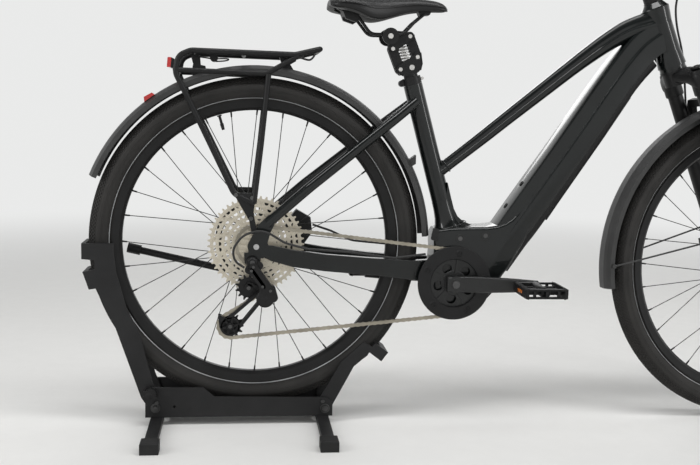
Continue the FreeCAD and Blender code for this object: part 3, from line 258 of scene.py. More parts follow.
def grow_band(bm, outer, inner, y0, y1):
    """A flat ring between two closed outlines with the same number of points."""
    rings = [[bm.verts.new(spot(x, z, y)) for x, z in line] for line, y in
             ((outer, y0), (outer, y1), (inner, y1), (inner, y0))]
    count = len(outer)
    for a, b in ((0, 1), (1, 2), (2, 3), (3, 0)):
        for i in range(count):
            j = (i + 1) % count
            bm.faces.new((rings[a][i], rings[a][j], rings[b][j], rings[b][i]))


def grow_lathe(bm, axle, profile, steps=96, start=0.0, sweep=360.0):
    """A closed profile of (radius, y) in millimetres, turned about an axle given as (x, z)."""
    whole = abs(sweep - 360.0) < 1e-6
    rings = []
    for i in range(steps if whole else steps + 1):
        a = math.radians(start + sweep * i / steps)
        rings.append([bm.verts.new(spot(axle[0] + r * math.cos(a), axle[1] + r * math.sin(a), y))
                      for r, y in profile])
    count = len(profile)
    spans = [(rings[i], rings[(i + 1) % len(rings)]) for i in range(len(rings) if whole else len(rings) - 1)]
    for one, two in spans:
        for k in range(count):
            m = (k + 1) % count
            bm.faces.new((one[k], one[m], two[m], two[k]))
    if not whole:
        bm.faces.new(rings[0])
        bm.faces.new(rings[-1])


def around(axle, radius, degrees):
    """The side-view point at an angle on a circle about an axle."""
    a = math.radians(degrees)
    return (axle[0] + radius * math.cos(a), axle[1] + radius * math.sin(a))


def pins(bm, axle, radius, degrees, y0, y1, size, sides=16):
    """Small round heads on a circle about an axle."""
    for angle in degrees:
        x, z = around(axle, radius, angle)
        grow_rod(bm, spot(x, z, y0), spot(x, z, y1), size, sides)


# ---------------------------------------------------------------- wheels
REAR = (0.0, 400.7)
FRONT = (1173.0, 361.0)
TYRE_MIDDLE = 336.0
TYRE_SECTION = 25.0


def tyre_profile(drop):
    """Outer and inner line of the casing; the tread zone is lower by the blocks' height."""
    outer, inner = [], []
    for k in range(41):
        a = math.radians(-150.8 + 301.6 * k / 40)
        low = drop if abs(a) < math.radians(72) else 0.0
        r = TYRE_SECTION - low
        outer.append((TYRE_MIDDLE + r * math.cos(a), r * math.sin(a)))
    for k in range(25):
        a = math.radians(154.0 - 308.0 * k / 24)
        r = TYRE_SECTION - 3.5
        inner.append((TYRE_MIDDLE + r * math.cos(a), r * math.sin(a)))
    return outer + [(305.0, 12.2), (305.0, 9.3)] + inner + [(305.0, -9.3), (305.0, -12.2)]


def make_tyre(name, axle, body, front):
    """The casing with its tread blocks."""
    drop = 1.5
    bm = bmesh.new()
    grow_lathe(bm, axle, tyre_profile(drop), 160)
    finish_bm(name + "_casing", bm, body, "tyre", front=front, replaces=(name + "_tyre",))
    rows = ((0, 4.2, 6.4, 0), (9.5, 3.4, 5.6, 24), (19, 3.4, 5.6, -24), (28.5, 3.6, 5.6, 24),
            (38.5, 3.8, 5.4, -20),
            (49.5, 4.4, 4.6, 12), (60, 4.4, 4.2, 0), (70, 3.8, 3.8, 20), (79.5, 3.4, 3.6, -20),
            (88, 2.6, 3.4, 0))
    count = 264
    verts, faces = [], []
    for lean, wide, long, skew in rows:
        for sign in ((1,) if lean == 0 else (-1, 1)):
            for i in range(count):
                phase = 0.5 if (rows.index((lean, wide, long, skew)) % 2) else 0.0
                turn = 2 * math.pi * (i + phase) / count
                a = math.radians(lean * sign)
                s = math.radians(skew * sign)
                out = Vector((math.cos(turn) * math.cos(a), math.sin(a), math.sin(turn) * math.cos(a)))
                along = Vector((-math.sin(turn), 0.0, math.cos(turn)))
                side = along.cross(out)
                base = Vector((math.cos(turn) * TYRE_MIDDLE, 0.0, math.sin(turn) * TYRE_MIDDLE))
                first = len(verts)
                for height, shrink in ((TYRE_SECTION - drop - 1.0, 1.0), (TYRE_SECTION, 0.82)):
                    for u, v in ((-1, -1), (1, -1), (1, 1), (-1, 1)):
                        du, dv = u * wide / 2 * shrink, v * long / 2 * shrink
                        p = base + out * height + side * (du * math.cos(s) - dv * math.sin(s))
                        p = p + along * (du * math.sin(s) + dv * math.cos(s))
                        verts.append(spot(axle[0] + p.x, axle[1] + p.z, p.y))
                faces += [(first, first + 3, first + 2, first + 1),
                          (first + 4, first + 5, first + 6, first + 7)]
                for k in range(4):
                    m = (k + 1) % 4
                    faces.append((first + k, first + m, first + 4 + m, first + 4 + k))
    mesh = bpy.data.meshes.new(name + "_tread")
    mesh.from_pydata(verts, [], faces)
    place_mesh(name + "_tread", mesh, body, "tyre", front=front, smooth=0)
    bm = bmesh.new()
    for sign in (-1, 1):
        arc = []
        for k in range(4):
            a = math.radians(141.2 + 5.0 * k / 3)
            arc.append((TYRE_MIDDLE + (TYRE_SECTION + 0.25) * math.cos(a),
                        sign * (TYRE_SECTION + 0.25) * math.sin(a)))
        back = [(TYRE_MIDDLE + (r - TYRE_MIDDLE) * 0.96, y * 0.96) for r, y in reversed(arc)]
        grow_lathe(bm, axle, arc + back, 160)
    finish_bm(name + "_stripe", bm, body, "tyre", finish=STRIPE, front=front)
    bm = bmesh.new()
    for sign in (-1, 1):
        for rib in (95.0, 101.0, 131.0, 136.0):
            arc = []
            for k in range(3):
                a = math.radians(rib + 1.1 * (k - 1))
                h = TYRE_SECTION + (0.45 if k == 1 else 0.0)
                arc.append((TYRE_MIDDLE + h * math.cos(a), sign * h * math.sin(a)))
            a = math.radians(rib)
            low = TYRE_SECTION - 1.0
            grow_lathe(bm, axle, arc + [(TYRE_MIDDLE + low * math.cos(a), sign * low * math.sin(a))], 120)
    finish_bm(name + "_ribs", bm, body, "tyre", front=front)


def make_wheel_trim(name, axle, body, front, flange_left, flange_right):
    """Spoke nipples at the rim and the valve with its cap."""
    bm = bmesh.new()
    for index in range(32):
        side = 1 if index % 2 else -1
        leading = 1 if (index // 2) % 2 else -1
        flange = flange_left if side > 0 else -flange_right
        angle = index * 11.25
        tip = spot(*around(axle, 289.8, angle), side * 3.0)
        foot = spot(*around(axle, 31.2, angle - leading * 66.0), flange + leading * 2.8)
        along = (foot - tip).normalized()
        grow_rod(bm, tip - along * 0.001, tip + along * 0.011, 2.1, 8, 1.7)
    finish_bm(name + "_nipples", bm, body, "spoke_steel", front=front)
    bm = bmesh.new()
    turn = 106.5 if not front else 60.0
    low, high = (289.0, 270.0)
    grow_rod(bm, spot(*around(axle, low, turn)), spot(*around(axle, high, turn)), 3.0, 14)
    grow_rod(bm, spot(*around(axle, high, turn)), spot(*around(axle, high - 14, turn)), 4.2, 14, 3.2)
    grow_rod(bm, spot(*around(axle, 289.0, turn)), spot(*around(axle, 286.0, turn)), 5.0, 6)
    finish_bm(name + "_valve", bm, body, "black_plastic", front=front)


# ---------------------------------------------------------------- cassette and chain
PITCH = 12.7
CHAIN_Y = -50.0
COGS = (10, 12, 14, 16, 18, 21, 24, 28, 33, 39, 45, 51)


def pitch_radius(teeth):
    """The pitch circle of a sprocket that fits the chain."""
    return PITCH / (2 * math.sin(math.pi / teeth))


def tooth_line(place, teeth, deep=3.9, tall=2.4):
    """Outline of a sprocket with rounded roots and blunt teeth, and its angles."""
    radius = pitch_radius(teeth)
    points, angles = [], []
    for index in range(teeth):
        for share, r in ((-0.34, radius - deep), (-0.22, radius - 2.6), (-0.13, radius + tall * 0.5),
                         (-0.07, radius + tall), (0.07, radius + tall), (0.13, radius + tall * 0.5),
                         (0.22, radius - 2.6), (0.34, radius - deep)):
            angle = (index + share) * 360.0 / teeth
            points.append(around(place, r, angle))
            angles.append(angle)
    return points, angles


COG_STEEL = material("cog_steel", (0.62, 0.57, 0.47), 0.30, metal=0.4, grain=900.0, bump=0.08, spread=0.12)


def make_cassette():
    """Twelve cogs, each a toothed band on its own swept arms."""
    steel, dark = bmesh.new(), bmesh.new()
    for index, teeth in enumerate(COGS):
        y = CHAIN_Y + (index - 5) * 3.6
        outline, angles = tooth_line(REAR, teeth)
        root = pitch_radius(teeth) - 3.9
        depth = 7.0 if teeth > 24 else 6.0
        inner_r = max(15.0, root - depth)
        inner = [around(REAR, inner_r, a) for a in angles]
        grow_band(steel, outline, inner, y - 0.8, y + 0.8)
        if inner_r > 20.0:
            hub_r = max(17.0, pitch_radius(COGS[index - 1]) - 9.0)
            arms = 12 if teeth > 30 else 9
            for n in range(arms):
                a = 360.0 * n / arms + index * 7.0
                wide = 7.0 if teeth > 30 else 10.0
                swirl = 9.0
                corners = [around(REAR, hub_r, a - wide * 0.7),
                           around(REAR, inner_r + 1.0, a - wide / 2 + swirl),
                           around(REAR, inner_r + 1.0, a + wide / 2 + swirl),
                           around(REAR, hub_r, a + wide * 0.7)]
                grow_prism(steel, corners, y - 0.7, y + 0.7)
            ring = [around(REAR, hub_r + 1.6, t * 5.0) for t in range(72)]
            hole = [around(REAR, hub_r - 1.6, t * 5.0) for t in range(72)]
            grow_band(steel, ring, hole, y - 0.7, y + 0.7)
            pins(steel, REAR, inner_r + 2.0, [360.0 * n / arms + index * 7.0 + 9.0 for n in range(arms)],
                 y - 1.5, y + 1.5, 1.9, 10)
    finish_bm("cassette_cogs", steel, "cassette", "chain_steel", finish=COG_STEEL, replaces=("cassette",),
              smooth=30)
    grow_lathe(dark, REAR, [(14.2, -67.0), (16.4, -67.0), (16.4, -29.0), (14.2, -29.0)], 64)
    first = CHAIN_Y - 5 * 3.6
    grow_lathe(dark, REAR, [(12.0, first - 2.4), (17.2, first - 2.4), (18.6, first - 0.9),
                            (12.0, first - 0.9)], 64)
    finish_bm("cassette_carrier", dark, "cassette", "black_metal")


def tangent(first, r1, second, r2, side1, side2):
    """Ends of a straight run between two sprockets."""
    dx, dz = second[0] - first[0], second[1] - first[1]
    swing = math.asin((side1 * r1 - side2 * r2) / math.hypot(dx, dz))
    angle = math.atan2(dz, dx) - swing
    nx, nz = -math.sin(angle), math.cos(angle)
    return ((first[0] + nx * side1 * r1, first[1] + nz * side1 * r1),
            (second[0] + nx * side2 * r2, second[1] + nz * side2 * r2))


CRANK = (438.0, 320.0)
JOCKEY_TOP = (-15.0, 308.0)
JOCKEY_LOW = (-54.0, 223.0)
COG_R, RING_R, JOCKEY_R = pitch_radius(21), pitch_radius(36), pitch_radius(13)


def chain_line():
    """The chain's runs and arcs in order, each as a function of its own length."""
    top = tangent(REAR, COG_R, CRANK, RING_R, 1, 1)
    low = tangent(CRANK, RING_R, JOCKEY_LOW, JOCKEY_R, 1, 1)
    cross = tangent(JOCKEY_LOW, JOCKEY_R, JOCKEY_TOP, JOCKEY_R, 1, -1)
    back = tangent(JOCKEY_TOP, JOCKEY_R, REAR, COG_R, -1, 1)
    legs = []
    turns = ((top, CRANK, RING_R, low[0], 1, "drive"), (low, JOCKEY_LOW, JOCKEY_R, cross[0], 1, "return"),
             (cross, JOCKEY_TOP, JOCKEY_R, back[0], -1, "return"), (back, REAR, COG_R, top[0], 1, "feed"))
    for run, centre, radius, after, sense, piece_name in turns:
        legs.append(("line", run[0], run[1], piece_name, 0, 0))
        a0 = math.atan2(run[1][1] - centre[1], run[1][0] - centre[0])
        a1 = math.atan2(after[1] - centre[1], after[0] - centre[0])
        sweep = (a0 - a1) % (2 * math.pi) if sense > 0 else (a1 - a0) % (2 * math.pi)
        arc_name = {"drive": "drive", "return": "return", "feed": "drive"}[piece_name]
        legs.append(("arc", centre, radius, arc_name, a0, -sense * sweep))
    return legs


def chain_places():
    """Every pin of the chain, as (x, z, piece)."""
    legs = chain_line()
    sizes = [math.dist(l[1], l[2]) if l[0] == "line" else abs(l[5]) * l[2] for l in legs]
    count = round(sum(sizes) / PITCH)
    step = sum(sizes) / count
    places = []
    for index in range(count):
        left = index * step
        for leg, size in zip(legs, sizes):
            if left <= size:
                break
            left -= size
        if leg[0] == "line":
            share = left / size
            x = leg[1][0] + (leg[2][0] - leg[1][0]) * share
            z = leg[1][1] + (leg[2][1] - leg[1][1]) * share
        else:
            a = leg[4] + leg[5] * left / size
            x, z = leg[1][0] + leg[2] * math.cos(a), leg[1][1] + leg[2] * math.sin(a)
        places.append((x, z, leg[3]))
    return places


def grow_link(bm, one, two, near, far, waist, eye):
    """A figure-of-eight side plate between two pins."""
    dx, dz = two[0] - one[0], two[1] - one[1]
    size = math.hypot(dx, dz)
    ux, uz = dx / size, dz / size
    outline = []
    for centre, base in ((two, -90.0), (one, 90.0)):
        for n in range(7):
            a = math.radians(base + 30.0 * n)
            outline.append((centre[0] + eye * (math.cos(a) * ux - math.sin(a) * uz),
                            centre[1] + eye * (math.cos(a) * uz + math.sin(a) * ux)))
        sign = 1.0 if base < 0 else -1.0
        middle = ((one[0] + two[0]) / 2, (one[1] + two[1]) / 2)
        outline.append((middle[0] - uz * waist * sign, middle[1] + ux * waist * sign))
    grow_prism(bm, outline, near, far)


def make_chain():
    """The chain in three runs: driven, returning and feeding."""
    places = chain_places()
    groups = {"drive": bmesh.new(), "return": bmesh.new(), "feed": bmesh.new()}
    for index, place in enumerate(places):
        after = places[(index + 1) % len(places)]
        bm = groups[place[2]]
        spans = ((1.05, 1.85), (-1.85, -1.05)) if index % 2 else ((1.95, 2.75), (-2.75, -1.95))
        for near, far in spans:
            grow_link(bm, place, after, CHAIN_Y + near, CHAIN_Y + far, 3.1, 4.1)
        at = [spot(place[0], place[1], CHAIN_Y + y) for y in (-3.1, 3.1, -1.1, 1.1)]
        grow_rod(bm, at[0], at[1], 1.8, 10)
        grow_rod(bm, at[2], at[3], 3.7, 12)
    finish_bm("chain_drive", groups["drive"], "frame", "chain_steel", replaces=("chain_upper",), smooth=30)
    low = finish_bm("chain_return", groups["return"], None, "chain_steel", replaces=("chain_lower",),
                    smooth=30)
    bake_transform(low)
    feed = finish_bm("chain_feed", groups["feed"], None, "chain_steel", smooth=30)
    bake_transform(feed)


STRIPE = material("stripe", (0.42, 0.43, 0.44), 0.35, grain=900.0, bump=0.1)
make_tyre("rear", REAR, "rear_wheel", False)
make_tyre("front", FRONT, "front_wheel", True)
make_cassette()
make_chain()


# ---------------------------------------------------------------- saddle and seat post
def saddle_sections():
    """Stations of x, half width, top and skirt height along the saddle, in millimetres."""
    return ((151, 50, 929, 909), (157, 62, 935, 901), (168, 68, 938, 897), (186, 72, 941, 893),
            (206, 72, 942, 887),
            (226, 66, 942, 876), (245, 56, 941, 869), (264, 46, 940, 873), (284, 38, 939, 882),
            (308, 31, 939, 892),
            (332, 26.5, 940, 900), (356, 23.5, 940, 903), (378, 21.5, 938, 905), (394, 20, 935, 906),
            (405, 16.5, 930, 907), (411, 10, 924, 911), (413, 5, 920, 914))


def make_saddle():
    """A stuffed saddle: crowned sides, a pressure channel, and a tucked skirt."""
    stations = saddle_sections()
    around_count = 44
    verts, faces = [], []
    for x, half, top, skirt in stations:
        tall = top - skirt
        ring = []
        for k in range(around_count):
            a = 2 * math.pi * k / around_count
            c, s = math.cos(a), math.sin(a)
            y = half * math.copysign(abs(c) ** 0.72, c)
            z = (top + skirt) / 2 + tall / 2 * math.copysign(abs(s) ** 0.75, s)
            if s > 0:
                crown = 1.0 - (y / half) ** 2
                z -= 4.0 * (1.0 - crown)
                if 160 < x < 380:
                    fade = math.sin(math.pi * (x - 160) / 220) ** 0.6
                    z -= 6.5 * fade * math.exp(-(y / (5.0 + half * 0.10)) ** 2)
            else:
                lift = 1.0 - abs(y) / half
                z += lift * tall * (0.62 if x > 150 else 0.3)
            ring.append((x, y, z))
        verts += [spot(px, pz, py) for px, py, pz in ring]
    for i in range(len(stations) - 1):
        for k in range(around_count):
            m = (k + 1) % around_count
            faces.append((i * around_count + k, i * around_count + m, (i + 1) * around_count + m,
                          (i + 1) * around_count + k))
    faces.append(tuple(range(around_count)))
    last = (len(stations) - 1) * around_count
    faces.append(tuple(last + k for k in reversed(range(around_count))))
    mesh = bpy.data.meshes.new("saddle_cover")
    mesh.from_pydata(verts, [], faces)
    saddle = place_mesh("saddle_cover", mesh, None, "saddle_cover", smooth=80)
    stuff(saddle)
    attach(saddle, "seat_head")
    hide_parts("saddle")
    seams(stations)
    bm = bmesh.new()
    for side in (-1, 1):
        y0, y1 = sorted((side * 20, side * 33))
        grow_prism(bm, [(166, 910), (196, 914), (214, 900), (216, 888), (208, 883), (186, 890), (180, 904)],
                   y0, y1)
    grow_prism(bm, [(176, 912), (206, 912), (206, 898), (184, 896)], -22, 22)
    grow_prism(bm, [(346, 912), (376, 914), (372, 905), (350, 903)], -13, 13)
    finish_bm("saddle_shell", bm, "seat_head", "black_plastic")


def stuff(saddle):
    """Swells the cover a little with a short pressure simulation, then rounds it."""
    rest = [v.co.copy() for v in saddle.data.vertices]
    divide = saddle.modifiers.new("rounding", "SUBSURF")
    divide.levels = divide.render_levels = 1
    bpy.context.view_layer.objects.active = saddle
    cloth = saddle.modifiers.new("stuffing", "CLOTH")
    cloth.settings.use_pressure = True
    cloth.settings.uniform_pressure_force = 2.0
    cloth.settings.effector_weights.gravity = 0.0
    cloth.settings.tension_stiffness = 40.0
    cloth.settings.compression_stiffness = 40.0
    cloth.point_cache.frame_start, cloth.point_cache.frame_end = 1, 10
    for step in range(1, 9):
        bpy.context.scene.frame_set(step)
    depsgraph = bpy.context.evaluated_depsgraph_get()
    swollen = bpy.data.meshes.new_from_object(saddle.evaluated_get(depsgraph))
    bpy.context.scene.frame_set(1)
    saddle.modifiers.clear()
    base = swollen_base(rest, saddle, swollen)
    bpy.data.meshes.remove(swollen)
    for vertex, place in zip(saddle.data.vertices, base):
        vertex.co = place
    divide = saddle.modifiers.new("rounding", "SUBSURF")
    divide.levels = divide.render_levels = 2
    saddle.data.set_sharp_from_angle(angle=math.radians(80))


def swollen_base(rest, saddle, swollen):
    """The simulated places of the cover's own vertices, each moved by 1.6 mm at most."""
    limit = 0.0016
    places = []
    for index, before in enumerate(rest):
        move = swollen.vertices[index].co - before
        if move.length > limit:
            move = move.normalized() * limit
        places.append(before + move)
    return places


def seams(stations):
    """Piped seam round each side of the saddle."""
    for side, name in ((-1, "right"), (1, "left")):
        points = []
        for x, half, top, skirt in stations[1:-2]:
            y = half * 0.985
            points.append(spot(x, top - (top - skirt) * 0.42, side * (y + 0.4)))
        curve = tube_curve("saddle_seam_" + name, points, 0.75)
        curve.data.materials.append(FINISH["rubber"])
        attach(curve, "seat_head")


def tube_curve(name, points, radius, cyclic=False):
    """A smooth round cord through control points, radius in millimetres."""
    data = bpy.data.curves.new(name, "CURVE")
    data.dimensions = "3D"
    data.bevel_depth = radius / 1000.0
    data.bevel_resolution = 3
    data.use_fill_caps = True
    line = data.splines.new("NURBS")
    line.points.add(len(points) - 1)
    for point, place in zip(line.points, points):
        point.co = (*place, 1.0)
    line.order_u = 3
    line.use_endpoint_u = not cyclic
    line.use_cyclic_u = cyclic
    made = bpy.data.objects.new(name, data)
    bpy.context.scene.collection.objects.link(made)
    return made


def bolt_head(bm, at, out, radius, tall, sides=20, socket=True):
    """A round bolt head with a hexagonal socket sunk in it."""
    grow_rod(bm, at, at + out * tall / 1000.0, radius, sides, radius * 0.93)
    if socket:
        turn = out.to_track_quat("Z", "Y").to_matrix().to_4x4()
        top = at + out * tall / 1000.0
        ring = []
        for r, deep, count in ((radius * 0.9, 0.02, 6), (radius * 0.52, 0.02, 6),
                               (radius * 0.52, -tall * 0.55, 6)):
            ring.append([bm.verts.new(Matrix.Translation(top) @ turn @ Vector(
                (r * math.cos(math.pi / 3 * k) / 1000.0, r * math.sin(math.pi / 3 * k) / 1000.0,
                 deep / 1000.0)))
                for k in range(count)])
        for a, b in ((0, 1), (1, 2)):
            for k in range(6):
                m = (k + 1) % 6
                bm.faces.new((ring[a][k], ring[a][m], ring[b][m], ring[b][k]))
        bm.faces.new(ring[2])


def rounded(points, sizes, steps=5):
    """An outline around round corners: circles of the given radii hulled in order."""
    outline = []
    count = len(points)
    for i, ((x, z), r) in enumerate(zip(points, sizes)):
        before, after = points[i - 1], points[(i + 1) % count]
        a0 = math.atan2(z - before[1], x - before[0]) + math.pi / 2
        a1 = math.atan2(after[1] - z, after[0] - x) + math.pi / 2
        sweep = (a0 - a1) % (2 * math.pi)
        for n in range(steps + 1):
            a = a0 - sweep * n / steps
            outline.append((x + r * math.cos(a), z + r * math.sin(a)))
    return outline


LINK_REAR = ((311, 786), (293, 830))
LINK_FRONT = ((348, 814), (330, 858))


def make_seat_post_trim():
    """Wide link plates, pivot bolts, the coil spring, clamp disc and collar bolt."""
    for name, body, ends in (("link_rear_plates", "link_rear", LINK_REAR),
                             ("link_front_plates", "link_front", LINK_FRONT)):
        bm = bmesh.new()
        low, high = ends
        outline = rounded([low, high], [10.5, 10.5], 9)
        for y0, y1 in ((-8.2, -3.0), (3.0, 8.2)):
            grow_prism(bm, outline, y0, y1)
        grow_prism(bm, rounded([low, high], [8.0, 8.0], 9), -3.2, 3.2)
        finish_bm(name, bm, body, "black_metal", replaces=("post_" + body,))
    steel = bmesh.new()
    for place in (LINK_REAR[0], LINK_FRONT[0], (336, 791)):
        for side in (-1, 1):
            bolt_head(steel, spot(*place, side * 13.2), Vector((0, side, 0)),
                      4.6 if place[0] != 336 else 6.2, 1.8)
    finish_bm("post_pivot_bolts", steel, "seatpost", "spring_steel")
    steel = bmesh.new()
    for place in (LINK_REAR[1], LINK_FRONT[1]):
        for side in (-1, 1):
            bolt_head(steel, spot(*place, side * 13.2), Vector((0, side, 0)), 4.6, 1.8)
    for side in (-1, 1):
        bolt_head(steel, spot(285, 856, side * 29.0), Vector((0, side, 0)), 6.0, 2.4)
    finish_bm("saddle_clamp_bolts", steel, "seat_head", "spring_steel")
    dark = bmesh.new()
    for side in (-1, 1):
        y0, y1 = sorted((side * 13.0, side * 14.4))
        grow_prism(dark, rounded([(290, 858), (330.5, 858), (294, 832)], [9, 8.5, 8], 6), y0, y1)
    finish_bm("saddle_clamp_plates", dark, "seat_head", "black_metal")
    dark = bmesh.new()
    for side in (-1, 1):
        y0, y1 = sorted((side * 13.0, side * 14.6))
        grow_prism(dark, rounded([(311, 787), (348, 813), (344, 790), (324, 781)], [9, 9, 11, 9], 6), y0, y1)
    finish_bm("post_base_plates", dark, "seatpost", "black_metal")
    coil = []
    low, high = Vector(spot(329, 798)), Vector(spot(311.5, 846))
    axis = (high - low)
    side_a = Vector((0, 1, 0))
    side_b = axis.cross(side_a).normalized()
    turns, per = 7.5, 14
    for n in range(int(turns * per) + 1):
        share = n / (turns * per)
        a = 2 * math.pi * n / per
        coil.append(low + axis * (0.03 + 0.94 * share) + (side_a * math.cos(a) + side_b * math.sin(a))
                    * 0.0105)
    spring = tube_curve("seat_spring", coil, 1.5)
    spring.data.bevel_resolution = 2
    mesh = bpy.data.meshes.new_from_object(spring)
    bpy.data.objects.remove(spring)
    made = place_mesh("seat_spring_coil", mesh, "seatpost", "spring_steel", replaces=("post_spring",),
                      smooth=60)
    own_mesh(made)
    bolt = bmesh.new()
    bolt_head(bolt, spot(361, 769, -7.0), Vector((0, -1, 0)), 3.6, 1.6)
    bolt_head(bolt, spot(361, 769, 7.0), Vector((0, 1, 0)), 3.6, 1.6, socket=False)
    finish_bm("collar_bolt", bolt, "frame", "spring_steel")


# ---------------------------------------------------------------- drive details
def make_crank_trim():
    """Spider arms behind the guard ring, the guard ring, guard bolts and a crank bolt on each side."""
    dark = bmesh.new()
    for n in range(5):
        a = 46 + 72 * n - 36
        corners = [around(CRANK, 16, a - 32), around(CRANK, 57, a - 13), around(CRANK, 57, a + 13),
                   around(CRANK, 16, a + 32)]
        grow_prism(dark, corners, -53.8, -50.9)
        rib = [around(CRANK, 18, a - 8), around(CRANK, 55, a - 3), around(CRANK, 55, a + 3),
               around(CRANK, 18, a + 8)]
        grow_prism(dark, rib, -55.8, -53.5)
    grow_lathe(dark, CRANK, [(12.2, -54.2), (27, -54.2), (28.5, -53.0), (28.5, -51), (12.2, -51)], 60)
    grow_lathe(dark, CRANK, [(50, -53.9), (61, -53.9), (61, -51), (50, -51)], 90)
    finish_bm("crank_spider", dark, "crank", "crank_alloy")
    guard = bmesh.new()
    profile = [(53.0, -54.6), (53.0, -58.4), (54.4, -59.4), (58.5, -59.4), (60.5, -58.8), (77.0, -58.8),
               (81.3, -58.0),
               (82.3, -56.8), (82.0, -55.4), (78.0, -54.6)]
    grow_lathe(guard, CRANK, profile, 144)
    for n in range(5):
        place = around(CRANK, 67.5, 10 + 72 * n)
        grow_lathe(guard, place, [(4.6, -58.6), (4.6, -59.6), (6.6, -59.6), (7.4, -58.6)], 28)
    finish_bm("guard_ring", guard, "crank", "black_plastic", replaces=("chain_guard",))
    bolts = bmesh.new()
    for n in range(5):
        bolt_head(bolts, spot(*around(CRANK, 67.5, 10 + 72 * n), -58.6), Vector((0, -1, 0)), 3.6, 1.3)
    finish_bm("guard_bolts", bolts, "crank", "black_metal")
    bolts = bmesh.new()
    bolt_head(bolts, spot(*CRANK, -75.8), Vector((0, -1, 0)), 9.0, 2.4, 28)
    bolt_head(bolts, spot(*CRANK, 75.8), Vector((0, 1, 0)), 9.0, 2.4, 28)
    finish_bm("crank_bolts", bolts, "crank", "bare_alloy", finish=DARK_STEEL)


def make_pedal(name, body, place, side):
    """Cage pedal: toothed rims, cut-out end plates, a centre body and its reflectors."""
    bm = bmesh.new()
    x0, z0 = place
    inner, outer = 100.0, 190.0
    for sx in (-1, 1):
        y = inner
        while y < outer - 4.0:
            y0, y1 = sorted((side * y, side * (y + 5.2)))
            tall = 12.0
            grow_prism(bm, [(x0 + sx * 38.5, z0 - tall), (x0 + sx * 46, z0 - tall + 2.0),
                            (x0 + sx * 46, z0 + tall - 2.0),
                            (x0 + sx * 38.5, z0 + tall)], y0, y1)
            y += 8.4
        y0, y1 = sorted((side * inner, side * outer))
        grow_prism(bm, [(x0 + sx * 39.5, z0 - 9.5), (x0 + sx * 44, z0 - 8.5), (x0 + sx * 44, z0 + 8.5),
                        (x0 + sx * 39.5, z0 + 9.5)], y0, y1)
    for y in (inner, 182.0):
        y0, y1 = sorted((side * y, side * (y + 7.5)))
        for s in (-1, 1):
            bar = [(x0 - 44, z0 + s * 6.5), (x0 + 44, z0 + s * 6.5), (x0 + 40, z0 + s * 10.5),
                   (x0 - 40, z0 + s * 10.5)]
            grow_prism(bm, bar, y0, y1)
        for px in (-26, 0, 26):
            grow_prism(bm, [(x0 + px - 2.5, z0 - 8), (x0 + px + 2.5, z0 - 8), (x0 + px + 2.5, z0 + 8),
                            (x0 + px - 2.5, z0 + 8)], y0, y1)
    for y in (118.0, 141.0, 164.0):
        y0, y1 = sorted((side * y, side * (y + 6.0)))
        grow_prism(bm, [(x0 - 42, z0 - 5), (x0 + 42, z0 - 5), (x0 + 42, z0 + 5), (x0 - 42, z0 + 5)], y0, y1)
    profile = [(5.6, side * 96.0), (11.0, side * 96.0), (12.5, side * 102.0), (10.5, side * 140.0),
               (12.0, side * 176.0),
               (10.0, side * 180.0), (5.6, side * 180.0)]
    grow_lathe(bm, place, profile, 28)
    node = "pedal_right" if side < 0 else "pedal_left"
    finish_bm(name + "_cage", bm, body, "black_plastic", replaces=(node,))
    amber = bmesh.new()
    for sx in (-1, 1):
        grow_block(amber, spot(x0 + sx * 46.2, z0, side * 146), (1.6, 30, 7), bevel=0.5)
    finish_bm(name + "_reflectors", amber, body, "lamp_red", finish=AMBER, smooth=20)


